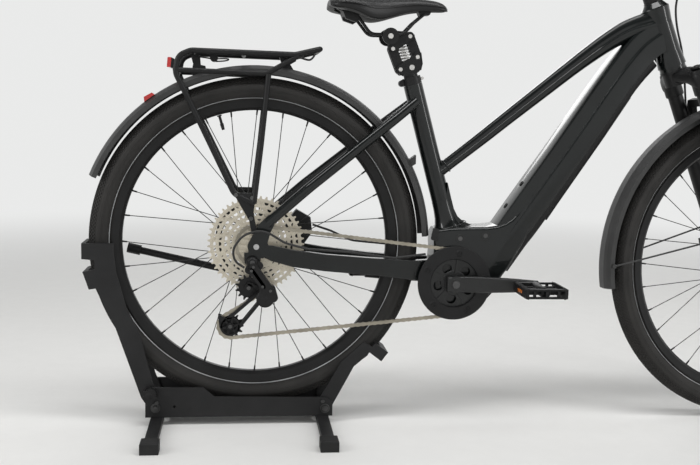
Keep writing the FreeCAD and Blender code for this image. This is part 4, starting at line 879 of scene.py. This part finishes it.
def make_derailleur():
    """Knuckles, parallelogram plates with their pins, and the skeleton cage."""
    dark = bmesh.new()
    hanger, pivot = (-8.0, 369.0), (20.0, 291.0)
    grow_lathe(dark, hanger, [(0.2, -96.5), (8.5, -96.5), (11.0, -94.5), (12.5, -90), (12.5, -81),
                              (0.2, -81)], 36)
    for y0, y1, wide in ((-99.5, -96.0, 8.5), (-88.0, -84.5, 8.5)):
        grow_prism(dark, rounded([(-6, 360), (31, 309)], [wide, wide], 8), y0, y1)
        grow_prism(dark, rounded([(-10, 352), (14, 318)], [6.0, 6.5], 8), y0, y1)
    grow_prism(dark, rounded([(-8, 370), (8, 362), (-4, 346), (-17, 352)], [8, 7, 7, 7], 5), -93, -83)
    grow_prism(dark, rounded([(14, 318), (33, 312), (37, 294), (20, 291)], [7, 9, 10, 12], 5), -98, -84)
    grow_lathe(dark, pivot, [(6.1, -97.0), (16.0, -97.0), (19.0, -94.0), (19.0, -70.0), (17.0, -67.0),
                             (6.1, -67.0)], 48)
    grow_lathe(dark, pivot, [(0.2, -98.5), (6.0, -98.5), (9.0, -96.5), (0.2, -96.5)], 32)
    for n in range(18):
        a = 20.0 * n
        x, z = around(pivot, 19.0, a)
        grow_rod(dark, spot(x, z, -88), spot(x, z, -78), 0.9, 6)
    finish_bm("derailleur_arms", dark, "frame", "black_metal", replaces=("derailleur_body",))
    bolts = bmesh.new()
    for place in ((-6, 360), (31, 309), (-10, 352), (14, 318)):
        bolt_head(bolts, spot(*place, -99.6), Vector((0, -1, 0)), 3.2, 1.0, 14)
    bolt_head(bolts, spot(*hanger, -96.4), Vector((0, -1, 0)), 5.5, 1.4, 20)
    finish_bm("derailleur_pins", bolts, "frame", "bare_alloy", finish=DARK_STEEL)
    cage = bmesh.new()
    for y0, y1 in ((-59.6, -57.2), (-43.0, -41.2)):
        for ends in (((12, 281), (-40, 215)), ((6, 297), (-58, 240)), ((20, 300), (-15, 318))):
            grow_prism(cage, rounded(list(ends), [3.6, 3.6], 6), y0, y1)
        grow_lathe(cage, (-54.0, 223.0), [(17.0, y0), (17.0, y1), (20.5, y1), (20.5, y0)], 48)
        grow_lathe(cage, (-54.0, 223.0), [(3.1, y0), (3.1, y1), (8.5, y1), (8.5, y0)], 32)
        grow_lathe(cage, (-15.0, 308.0), [(3.1, y0), (3.1, y1), (9.5, y1), (9.5, y0)], 32)
        for n in range(6):
            a = 60 * n + 12
            grow_prism(cage, [around((-54, 223), 7.5, a - 16), around((-54, 223), 18.0, a - 8),
                              around((-54, 223), 18.0, a + 8), around((-54, 223), 7.5, a + 16)], y0, y1)
        grow_prism(cage, rounded([(-78, 246), (-66, 240), (-74, 222)], [2.6, 3, 3], 5), y0, y1)
    grow_lathe(cage, pivot, [(5.0, -60.0), (5.0, -57.2), (15.0, -57.2), (15.0, -60.0)], 40)
    grow_rod(cage, spot(*pivot, -79), spot(*pivot, -57), 6.0, 24)
    for place in ((-15.0, 308.0), (-54.0, 223.0)):
        grow_rod(cage, spot(*place, -59), spot(*place, -41), 3.0, 16)
    finish_bm("cage_skeleton", cage, "cage", "black_metal", replaces=("derailleur_cage",))
    bolts = bmesh.new()
    for place in ((-15.0, 308.0), (-54.0, 223.0)):
        bolt_head(bolts, spot(*place, -59.4), Vector((0, -1, 0)), 4.4, 1.4, 18)
    finish_bm("cage_bolts", bolts, "cage", "bare_alloy", finish=DARK_STEEL)


def make_motor_trim():
    """Recessed bolts with their rims, and the charge-port cap."""
    bolts = bmesh.new()
    rims = bmesh.new()
    for place in ((451, 418), (508, 425)):
        for side in (-1, 1):
            out = Vector((0, side, 0))
            y = side * 44.0
            grow_lathe(rims, place, [(6.4, y - side * 1.0), (6.4, y + side * 0.8), (9.4, y + side * 0.8),
                                     (10.2, y - side * 1.0)], 32)
            bolt_head(bolts, spot(*place, y - side * 0.6), out, 5.4, 1.2, 22)
    finish_bm("motor_bolt_rims", rims, "frame", "motor_metal")
    finish_bm("motor_bolts", bolts, "frame", "bare_alloy", finish=DARK_STEEL)
    cap = bmesh.new()
    grow_prism(cap, rounded([(392, 438), (399, 436), (395, 416), (388, 418)], [3.5, 3.5, 3.5, 3.5], 6),
               -46.2, -43.6)
    finish_bm("charge_cap", cap, "frame", "rubber")


DARK_STEEL = material("dark_steel", (0.10, 0.10, 0.10), 0.34, metal=0.9, grain=900.0, bump=0.08)
AMBER = material("amber", (0.48, 0.13, 0.015), 0.18, coat=0.6, grain=500.0, bump=0.15)
make_wheel_trim("rear", REAR, "rear_wheel", False, 36.0, 17.0)
make_wheel_trim("front", FRONT, "front_wheel", True, 24.0, 36.0)
make_saddle()
make_seat_post_trim()
make_crank_trim()
make_pedal("right_pedal", "pedal_right", (608.0, 320.0), -1)
make_pedal("left_pedal", "pedal_left", (268.0, 320.0), 1)
make_derailleur()
make_motor_trim()


# ---------------------------------------------------------------- frame skins
DOWN_STATIONS = ((532, 365, 56, 84, 86), (571, 423, 56, 85, 86), (595, 457, 56, 85, 88),
                 (640, 523, 56, 85, 88),
                 (690, 596, 56, 84, 88), (738, 668, 56, 82, 88), (811, 778, 56, 74, 86),
                 (860, 838, 48, 60, 90),
                 (892, 864, 38, 54, 91), (922, 882, 30, 50, 92))
COVER_STATIONS = DOWN_STATIONS[:-2]
TOP_STATIONS = ((396, 556, 38.6, 33, 28), (432.6, 585.5, 38.6, 34, 28), (500, 639, 38.6, 35, 29.5),
                (564, 691, 38.6, 36, 31), (630, 744, 38.6, 38, 33), (696, 797, 38.4, 40, 35),
                (740, 831, 37, 42, 38),
                (785, 863, 33, 45, 42), (830, 888, 25, 48, 48), (893, 908, 15, 48, 56),
                (916, 914, 14, 46, 58))


def smooth_stations(stations, fine=5):
    """More stations between the given ones, on a Catmull-Rom curve through them."""
    table = np.array(stations, float)
    out = []
    count = len(table)
    for i in range(count - 1):
        p0, p1, p2, p3 = table[max(i - 1, 0)], table[i], table[i + 1], table[min(i + 2, count - 1)]
        for n in range(fine):
            t = n / fine
            out.append(0.5 * (2 * p1 + (p2 - p0) * t + (2 * p0 - 5 * p1 + 4 * p2 - p3) * t * t
                              + (3 * p1 - p0 - 3 * p2 + p3) * t ** 3))
    out.append(table[-1])
    return out


def loft(bm, stations, section):
    """A capped skin: section gives the closed outline of (y, up) for a half width and half depth."""
    rings = []
    for x, z, degrees, width, depth in smooth_stations(stations):
        a = math.radians(degrees)
        up = (-math.sin(a), math.cos(a))
        ring = [bm.verts.new(spot(x + up[0] * u, z + up[1] * u, y)) for y,
                u in section(width / 2, depth / 2)]
        rings.append(ring)
    count = len(rings[0])
    for one, two in zip(rings, rings[1:]):
        for k in range(count):
            m = (k + 1) % count
            bm.faces.new((one[k], one[m], two[m], two[k]))
    bm.faces.new(rings[0])
    bm.faces.new(rings[-1])


def down_section(w, d):
    """Open underneath, with a flat top and a shoulder where the lower side stands proud."""
    outer = [(0.70 * w, d), (0.78 * w, 0.975 * d), (0.825 * w, 0.925 * d), (0.85 * w, 0.85 * d),
             (0.875 * w, 0.60 * d),
             (0.89 * w, 0.345 * d), (0.90 * w, 0.315 * d), (0.93 * w, 0.285 * d), (0.965 * w, 0.25 * d),
             (0.99 * w, 0.20 * d), (1.0 * w, 0.13 * d), (0.99 * w, -0.05 * d), (0.96 * w, -0.32 * d),
             (0.925 * w, -0.55 * d), (0.90 * w, -0.60 * d)]
    inner = [(0.90 * w - 3.4, -0.60 * d), (0.80 * w, 0.80 * d), (0.70 * w, d - 3.2)]
    right = [(-y, u) for y, u in reversed(outer)]
    right_inner = [(-y, u) for y, u in reversed(inner)]
    return right + outer + inner + right_inner


def cover_section(w, d):
    """The battery cover, a shallow tray under the down tube."""
    half = [(0.885 * w, -0.622 * d), (0.86 * w, -0.74 * d), (0.79 * w, -0.87 * d), (0.64 * w, -0.95 * d),
            (0.42 * w, -0.985 * d), (0.15 * w, -0.995 * d)]
    inner = [(0.15 * w, -0.995 * d + 3), (0.42 * w, -0.985 * d + 3), (0.60 * w, -0.95 * d + 3),
             (0.72 * w, -0.84 * d), (0.79 * w, -0.622 * d)]
    left = half + inner
    return left + [(-y, u) for y, u in reversed(left)]


def top_section(w, d):
    """The top tube, rounded above with a shoulder along each side."""
    half = [(0.12 * w, d), (0.45 * w, 0.95 * d), (0.70 * w, 0.80 * d), (0.84 * w, 0.56 * d),
            (0.885 * w, 0.30 * d),
            (0.90 * w, 0.12 * d), (0.93 * w, 0.06 * d), (0.975 * w, 0.0), (1.0 * w, -0.10 * d),
            (0.97 * w, -0.30 * d),
            (0.80 * w, -0.66 * d), (0.58 * w, -0.88 * d), (0.25 * w, -0.99 * d)]
    return half + [(-y, u) for y, u in reversed(half)]


MOTOR_LINE = ((393, 300), (391, 352), (394, 392), (392, 424), (399, 437), (430, 442), (470, 443.5),
              (512, 444),
              (534, 447), (552, 453.5), (567, 462.5), (579, 474), (588, 487), (596, 500), (605, 513),
              (614, 524),
              (626, 512), (620, 468), (608, 428), (592, 400), (577, 374), (565, 352), (553, 336), (521, 287),
              (480, 254), (430, 242), (398, 252))


def motor_taper(x, z):
    """The housing thins towards the down tube, and sinks into its sides."""
    along = min(1.0, max(0.0, ((x - 560) * 0.559 + (z - 410) * 0.829 - 20.0) / 60.0))
    return 1.0 - 0.13 * along * along * (3.0 - 2.0 * along)


def make_motor_shell():
    """The cast housing round the motor, with rounded edges on both sides."""
    bm = bmesh.new()
    count = len(MOTOR_LINE)
    rows = []
    for y, shrink in ((-44.0, 9.0), (-43.2, 5.0), (-40.6, 2.0), (-36.5, 0.4), (-31.0, 0.0), (31.0, 0.0),
                      (36.5, 0.4),
                      (40.6, 2.0), (43.2, 5.0), (44.0, 9.0)):
        ring = []
        for i, (x, z) in enumerate(MOTOR_LINE):
            before, after = MOTOR_LINE[i - 1], MOTOR_LINE[(i + 1) % count]
            tx, tz = after[0] - before[0], after[1] - before[1]
            size = math.hypot(tx, tz)
            inset_x, inset_z = x + tz / size * shrink, z - tx / size * shrink
            ring.append(bm.verts.new(spot(inset_x, inset_z, y * motor_taper(inset_x, inset_z))))
        rows.append(ring)
    for one, two in zip(rows, rows[1:]):
        for k in range(count):
            m = (k + 1) % count
            bm.faces.new((one[k], one[m], two[m], two[k]))
    bm.faces.new(rows[0])
    bm.faces.new(rows[-1])
    finish_bm("motor_shell", bm, "frame", "frame_paint", replaces=("motor_housing",), smooth=40)


SEAT_UP = (Vector((345.8 - 458.0, 0, 738.4 - 342.0))).normalized()


def seat_axis(z):
    """A point on the seat tube's axis at a height in millimetres."""
    share = (z - 342.0) / (738.4 - 342.0)
    return spot(458.0 - 112.2 * share, z)


def grow_turned(bm, base, axis, profile, steps=48):
    """A closed profile of (radius, along) in millimetres, turned about any axis."""
    turn = axis.to_track_quat("Z", "Y").to_matrix()
    rings = []
    for i in range(steps):
        a = 2 * math.pi * i / steps
        rings.append([bm.verts.new(base + turn @ Vector((r * math.cos(a), r * math.sin(a), h)) / 1000.0)
                      for r, h in profile])
    count = len(profile)
    for i in range(steps):
        one, two = rings[i], rings[(i + 1) % steps]
        for k in range(count):
            m = (k + 1) % count
            bm.faces.new((one[k], one[m], two[m], two[k]))


def weld_bead(bm, centre, axis, radius_a, radius_b, across, size=1.7, steps=72):
    """A rippled oval bead round a tube joint; across is the second radius's direction."""
    other = axis.cross(across).normalized()
    rings = []
    for i in range(steps):
        a = 2 * math.pi * i / steps
        out = across * math.cos(a) * radius_b + other * math.sin(a) * radius_a
        at = centre + out / 1000.0
        ring = []
        thick = size * (1.0 + 0.16 * math.sin(a * 30))
        for k in range(8):
            b = 2 * math.pi * k / 8
            ring.append(bm.verts.new(at + (out.normalized() * math.cos(b) + axis * math.sin(b))
                                     * thick / 1000.0))
        rings.append(ring)
    for i in range(steps):
        one, two = rings[i], rings[(i + 1) % steps]
        for k in range(8):
            m = (k + 1) % 8
            bm.faces.new((one[k], one[m], two[m], two[k]))


def make_frame_skin():
    """Tube skins, the battery cover, weld beads and bottle bosses."""
    bm = bmesh.new()
    loft(bm, DOWN_STATIONS, down_section)
    finish_bm("down_tube_skin", bm, "frame", "frame_paint", replaces=("down_tube",), smooth=24)
    bm = bmesh.new()
    loft(bm, COVER_STATIONS, cover_section)
    finish_bm("battery_cover", bm, "battery", "black_plastic", smooth=35)
    bm = bmesh.new()
    loft(bm, TOP_STATIONS, top_section)
    finish_bm("top_tube_skin", bm, "frame", "frame_paint", replaces=("top_tube",), smooth=24)
    make_motor_shell()
    bm = bmesh.new()
    base = seat_axis(440.0)
    grow_turned(bm, base, SEAT_UP, [(20.0, -6), (36.0, -6), (31.0, 3), (26.5, 12), (23.6, 24), (21.8, 42),
                                    (21.15, 60), (20.0, 60)], 56)
    grow_turned(bm, seat_axis(498.0), SEAT_UP,
                [(20.0, -1.4), (21.7, -1.0), (21.9, 0.0), (21.7, 1.0), (20.0, 1.4)], 56)
    finish_bm("seat_tube_flare", bm, "frame", "frame_paint", smooth=50)
    bm = bmesh.new()
    slope = math.radians(38.6)
    along = Vector((math.cos(slope), 0, math.sin(slope)))
    weld_bead(bm, spot(421.5, 576.5), along, 17.4, 14.6, Vector((-math.sin(slope), 0, math.cos(slope))))
    weld_bead(bm, spot(438, 418) + Vector((0, 0, 0.026)), SEAT_UP, 34.0, 34.0, Vector((0, 1, 0)), 1.4)
    weld_bead(bm, on_steer(96, -26), STEER_FORWARD, 19.0, 24.0, STEER_UP, 2.2)
    weld_bead(bm, on_steer(52, -26), STEER_FORWARD, 22.0, 40.0, STEER_UP, 2.2)
    finish_bm("weld_beads", bm, "frame", "frame_paint", smooth=60)
    dark = bmesh.new()
    out = Vector((-math.sin(math.radians(56)), 0, math.cos(math.radians(56))))
    for along in (50.0, 111.0):
        at = spot(571 + along * out.z, 423 - along * out.x) + out * 0.0437
        bolt_head(dark, at, out, 4.2, 1.6, 20)
        grow_rod(dark, at - out * 0.002, at + out * 0.0008, 6.4, 24)
    finish_bm("bottle_bosses", dark, "frame", "rubber")
    curve = tube_curve("cover_seal", [spot(x - math.sin(math.radians(a)) * -0.61 * d / 2,
                                           z + math.cos(math.radians(a)) * -0.61 * d / 2, -0.892 * w / 2)
                                      for x, z, a, w, d in smooth_stations(COVER_STATIONS)], 0.7)
    curve.data.materials.append(FINISH["rubber"])
    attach(curve, "frame")


def make_rack_trim():
    """Fender brackets, the strap knob, the lamp with its lens, reflectors and leg bolts."""
    dark = bmesh.new()
    grow_prism(dark, [(-144, 806), (-124, 806), (-122, 784), (-112, 782), (-110, 768), (-128, 752),
                      (-142, 764),
                      (-138, 786)], -9, 9)
    grow_prism(dark, [(46, 806), (74, 806), (70, 790), (80, 774), (72, 764), (46, 772), (52, 790)], -9, 9)
    grow_rod(dark, spot(-94, 800, -14), spot(-94, 800, 14), 8.5, 24)
    grow_rod(dark, spot(-94, 800, -16), spot(-94, 800, 16), 5.0, 24)
    grow_prism(dark, [(-150, 812), (-150, 816), (100, 814), (100, 810)], -21, -12)
    grow_prism(dark, [(-150, 812), (-150, 816), (100, 814), (100, 810)], 12, 21)
    finish_bm("rack_brackets", dark, "frame", "black_metal", smooth=30)
    wire = [spot(-128, 801, -12), spot(-110, 799, -12), spot(-96, 797, -12), spot(-60, 799, -13),
            spot(-66, 793, -13),
            spot(-90, 792, -12)]
    loop = tube_curve("rack_spring_wire", wire, 1.5)
    loop.data.materials.append(FINISH["black_metal"])
    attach(loop, "frame")
    loop = tube_curve("rack_loop", [spot(84, 806, -34), spot(104, 799, -32), spot(116, 801, -24),
                                    spot(122, 812, -18)], 2.2)
    loop.data.materials.append(FINISH["black_metal"])
    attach(loop, "frame")
    shell = bmesh.new()
    grow_prism(shell, rounded([(-178, 794), (-175, 776), (-184, 777), (-183, 796)], [1.2] * 4, 4), -30, 30)
    finish_bm("rear_lamp_case", shell, "frame", "black_plastic", replaces=("rear_lamp",), smooth=30)
    lens = bmesh.new()
    grow_prism(lens, rounded([(-184, 796), (-185.5, 778), (-190.5, 778), (-189, 796)], [1.5] * 4, 4), -30.5,
               30.5)
    finish_bm("rear_lamp_lens", lens, "frame", "lamp_red", smooth=30)
    back = bmesh.new()
    a = 126.5
    for spread in (-1.6,):
        outline = [around(REAR, 385.6, a - 2.0), around(REAR, 392.5, a - 1.6), around(REAR, 394.5, a + 1.2),
                   around(REAR, 385.6, a + 2.0)]
        grow_prism(back, outline, -17 + spread, 17 + spread)
    finish_bm("fender_reflector", back, "frame", "lamp_red", smooth=30)
    bolts = bmesh.new()
    for side in (-1, 1):
        out = Vector((0, side, 0))
        for x, z in ((-12, 462), (-10, 506), (-44, 512)):
            bolt_head(bolts, spot(x, z, side * 85.4), out, 4.4, 2.4, 18)
    finish_bm("rack_bolts", bolts, "frame", "bare_alloy", finish=DARK_STEEL)


def make_stand_trim():
    """Plate bolts, washers and the knob's insert."""
    bolts = bmesh.new()
    for side in (-1, 1):
        out = Vector((0, side, 0))
        for x, z in ((-215, 38), (157, 34)):
            grow_rod(bolts, spot(x, z, side * 45.0), spot(x, z, side * 46.4), 10.5, 28)
            bolt_head(bolts, spot(x, z, side * 46.2) if x > 0 else spot(x, z, side * 49.0), out, 7.0, 4.0,
                      24)
        for x in (-212, 152):
            bolt_head(bolts, spot(x, 50, side * 45.0), out, 4.5, 2.2, 18)
    finish_bm("stand_bolts", bolts, "stand", "stand_steel", finish=DARK_STEEL)
    cap = bmesh.new()
    grow_lathe(cap, (-226, 72), [(0.2, -67.2), (6.5, -67.2), (8.5, -66.2), (8.5, -65.0), (0.2, -65.0)], 32)
    finish_bm("knob_insert", cap, "knob", "black_plastic")


def make_fork_crown():
    """Steerer, stanchions and an arched crown whose ends clamp the stanchions."""
    bm = bmesh.new()
    rings = []
    arch = ((0.0, 2, -27, 50, 30), (18.0, 4, -25, 47, 30), (36.0, 9, -26, 42, 32), (50.0, 14, -31, 40, 36),
            (62.0, 18, -38, 42, 42), (72.0, 20, -43, 43, 46), (80.0, 20, -45, 38, 44),
            (85.0, 20, -46, 24, 34))
    for y, forward, middle, deep, tall in [(-y, f, m, d, t) for y, f, m, d,
                                           t in reversed(arch[1:])] + list(arch):
        ring = []
        for k in range(24):
            a = 2 * math.pi * k / 24
            c, n = math.cos(a), math.sin(a)
            u = math.copysign(abs(c) ** 0.7, c) * deep / 2
            v = math.copysign(abs(n) ** 0.7, n) * tall / 2
            ring.append(bm.verts.new(on_steer(middle + v, forward + u, y)))
        rings.append(ring)
    for one, two in zip(rings, rings[1:]):
        for k in range(24):
            m = (k + 1) % 24
            bm.faces.new((one[k], one[m], two[m], two[k]))
    bm.faces.new(rings[0])
    bm.faces.new(rings[-1])
    grow_rod(bm, on_steer(-45), on_steer(188), 14.3, 32)
    grow_rod(bm, on_steer(-44), on_steer(-12.4), 27.0, 48)
    for side in (-1, 1):
        grow_rod(bm, on_steer(-250, 20, side * 65), on_steer(-24, 20, side * 65), 17.0, 40)
        grow_turned(bm, on_steer(0, 20, side * 65), STEER_UP,
                    [(16.5, -76), (20.0, -76), (20.8, -73), (20.8, -24),
                                                              (19.5, -21), (16.5, -20)], 40)
    finish_bm("fork_crown", bm, "fork", "black_metal", front=True, replaces=("fork_upper",), smooth=40)


def make_front_trim():
    """Fork top caps, leg seals, brake hose, stem bolts, the top cap and the headset rings."""
    dark = bmesh.new()
    for side in (-1, 1):
        at = on_steer(-150, 20, side * 65)
        grow_turned(dark, at, STEER_UP, [(17.2, -4), (21.6, -4), (22.4, -1), (22.0, 4), (19.0, 7),
                                         (17.2, 7)], 36)
    finish_bm("fork_seals", dark, "lowers", "rubber", front=True)
    caps = bmesh.new()
    for side in (-1, 1):
        at = on_steer(-15, 20, side * 65)
        grow_turned(caps, at, STEER_UP, [(0.3, -1), (13.0, -1), (13.0, 2), (11.5, 3.6), (0.3, 3.6)], 32)
        bolt_head(caps, at + STEER_UP * 0.0034, STEER_UP, 5.0, 1.6, 20)
    finish_bm("fork_caps", caps, "fork", "black_metal", front=True)
    bolts = bmesh.new()
    bolt_head(bolts, on_steer(193, 0), STEER_UP, 6.0, 3.0, 22)
    for side in (-1, 1):
        for rise in (-12, 12):
            bolt_head(bolts, on_steer(168 + rise, 104.0, side * 16), STEER_FORWARD, 3.6, 2.4, 18)
    finish_bm("stem_bolts", bolts, "fork", "bare_alloy", finish=DARK_STEEL, front=True)
    rings = bmesh.new()
    for low, high in ((-14, -8.5), (137.5, 142.0), (143.0, 149.6)):
        grow_turned(rings, on_steer(low), STEER_UP, [(15.2, 0), (29.5 if low < 100 else 20.5, 0),
                                                     (30.0 if low < 100 else 20.8, (high - low) / 2),
                                                     (29.5 if low < 100 else 20.5, high - low),
                                                     (15.2, high - low)], 48)
    finish_bm("headset_rings", rings, "frame", "black_metal")
    route = [on_steer(150, 92, 40), on_steer(132, 78, 46), on_steer(80, 62, 44), on_steer(20, 56, 40),
             on_steer(-30, 52, 52), on_steer(-90, 48, 74), on_steer(-150, 40, 88), on_steer(-210, 34, 90)]
    hose = tube_curve("front_brake_hose", [TURN @ p for p in route], 2.5)
    hose.data.materials.append(FINISH["cable"])
    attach(hose, "fork")


make_frame_skin()
make_rack_trim()
make_stand_trim()
make_fork_crown()
make_front_trim()


# ---------------------------------------------------------------- studio
PALE = (0.82, 0.825, 0.82, 1.0)
BOWL_FLAT, BOWL_CORNER, BOWL_HIGH, BOWL_SEGMENTS = 6.0, 1.0, 5.0, 96
GLOW_STARTS, GLOW_FULL = 1.6, 5.0
GLOW_LEVEL, GLOW_GONE = 3.6, 4.8
AIR_STRENGTH = 0.07


def ranged(nodes, links, source, low, high):
    """Smooth nought to one as the source goes from low to high."""
    node = nodes.new("ShaderNodeMapRange")
    node.interpolation_type = "SMOOTHSTEP"
    node.inputs["From Min"].default_value = low
    node.inputs["From Max"].default_value = high
    links.new(source, node.inputs["Value"])
    return node.outputs["Result"]


def make_studio():
    """A round pale floor that curves up into a lit wall, the same from every side."""
    profile = [(0.0, 0.0), (1.5, 0.0), (3.0, 0.0), (BOWL_FLAT, 0.0)]
    for step in range(1, 13):
        angle = math.radians(90.0 * step / 12)
        profile.append((BOWL_FLAT + BOWL_CORNER * math.sin(angle),
                        BOWL_CORNER * (1.0 - math.cos(angle))))
    profile.append((BOWL_FLAT + BOWL_CORNER, BOWL_HIGH))
    bm = bmesh.new()
    line = [bm.verts.new((radius, 0.0, height)) for radius, height in profile]
    edges = [bm.edges.new(pair) for pair in zip(line, line[1:])]
    bmesh.ops.spin(bm, geom=line + edges, cent=(0, 0, 0), axis=(0, 0, 1),
                   angle=2 * math.pi, steps=BOWL_SEGMENTS, use_merge=True)
    bmesh.ops.remove_doubles(bm, verts=bm.verts, dist=1e-4)
    mesh = bpy.data.meshes.new("studio")
    bm.to_mesh(mesh)
    bm.free()
    for face in mesh.polygons:
        face.use_smooth = True
    bowl = bpy.data.objects.new("studio", mesh)
    bowl.location = (0.0, 0.0, -0.0005)
    bpy.context.scene.collection.objects.link(bowl)
    paint = material("studio", (0.775, 0.772, 0.757), 0.85, grain=60.0, bump=0.02, spread=0.01)
    nodes, links = paint.node_tree.nodes, paint.node_tree.links
    place = nodes.new("ShaderNodeTexCoord").outputs["Object"]
    split = nodes.new("ShaderNodeSeparateXYZ")
    links.new(place, split.inputs[0])
    away = nodes.new("ShaderNodeVectorMath")
    away.operation = "LENGTH"
    links.new(place, away.inputs[0])
    outward = ranged(nodes, links, away.outputs["Value"], GLOW_STARTS, GLOW_FULL)
    low = nodes.new("ShaderNodeMath")
    low.operation = "SUBTRACT"
    low.inputs[0].default_value = 1.0
    links.new(ranged(nodes, links, split.outputs["Z"], GLOW_LEVEL, GLOW_GONE), low.inputs[1])
    lit = nodes.new("ShaderNodeMath")
    lit.operation = "MULTIPLY"
    links.new(outward, lit.inputs[0])
    links.new(low.outputs["Value"], lit.inputs[1])
    glow = nodes.new("ShaderNodeEmission")
    glow.inputs["Color"].default_value = PALE
    both = nodes.new("ShaderNodeMixShader")
    links.new(lit.outputs["Value"], both.inputs["Fac"])
    links.new(nodes["Principled BSDF"].outputs["BSDF"], both.inputs[1])
    links.new(glow.outputs["Emission"], both.inputs[2])
    links.new(both.outputs["Shader"], nodes["Material Output"].inputs["Surface"])
    mesh.materials.append(paint)


def make_world():
    """Dim even air above the lit wall."""
    world = bpy.data.worlds.new("studio_air")
    bpy.context.scene.world = world
    world.use_nodes = True
    dim = world.node_tree.nodes["Background"]
    dim.inputs["Color"].default_value = (0.97, 0.98, 1.0, 1.0)
    dim.inputs["Strength"].default_value = AIR_STRENGTH


def area_light(name, at, aim, size, size_y, power):
    """A rectangular soft light aimed at a point."""
    data = bpy.data.lights.new(name, "AREA")
    data.shape = "RECTANGLE"
    data.size, data.size_y = size, size_y
    data.energy = power
    lamp = bpy.data.objects.new(name, data)
    bpy.context.scene.collection.objects.link(lamp)
    lamp.location = at
    lamp.rotation_euler = (Vector(aim) - Vector(at)).to_track_quat("-Z", "Y").to_euler()


def make_lights():
    """Long overhead strips draw the highlights along the tubes; softer lights fill the rest."""
    area_light("top", (0.0, -0.75, 2.9), (0.0, 0.0, 0.4), 4.2, 0.5, 58.0)
    area_light("back", (0.0, 1.1, 2.8), (0.0, 0.1, 0.3), 4.2, 0.6, 16.0)
    area_light("left", (-3.2, -1.3, 1.9), (-0.2, 0.0, 0.5), 0.4, 1.8, 25.0)
    area_light("right", (2.9, -1.9, 1.9), (0.2, 0.0, 0.5), 0.4, 1.8, 21.0)
    area_light("behind", (0.4, 3.4, 1.8), (0.0, 0.0, 0.5), 1.6, 1.2, 14.0)


make_studio()
make_world()
make_lights()
bpy.context.scene.view_settings.view_transform = "Standard"
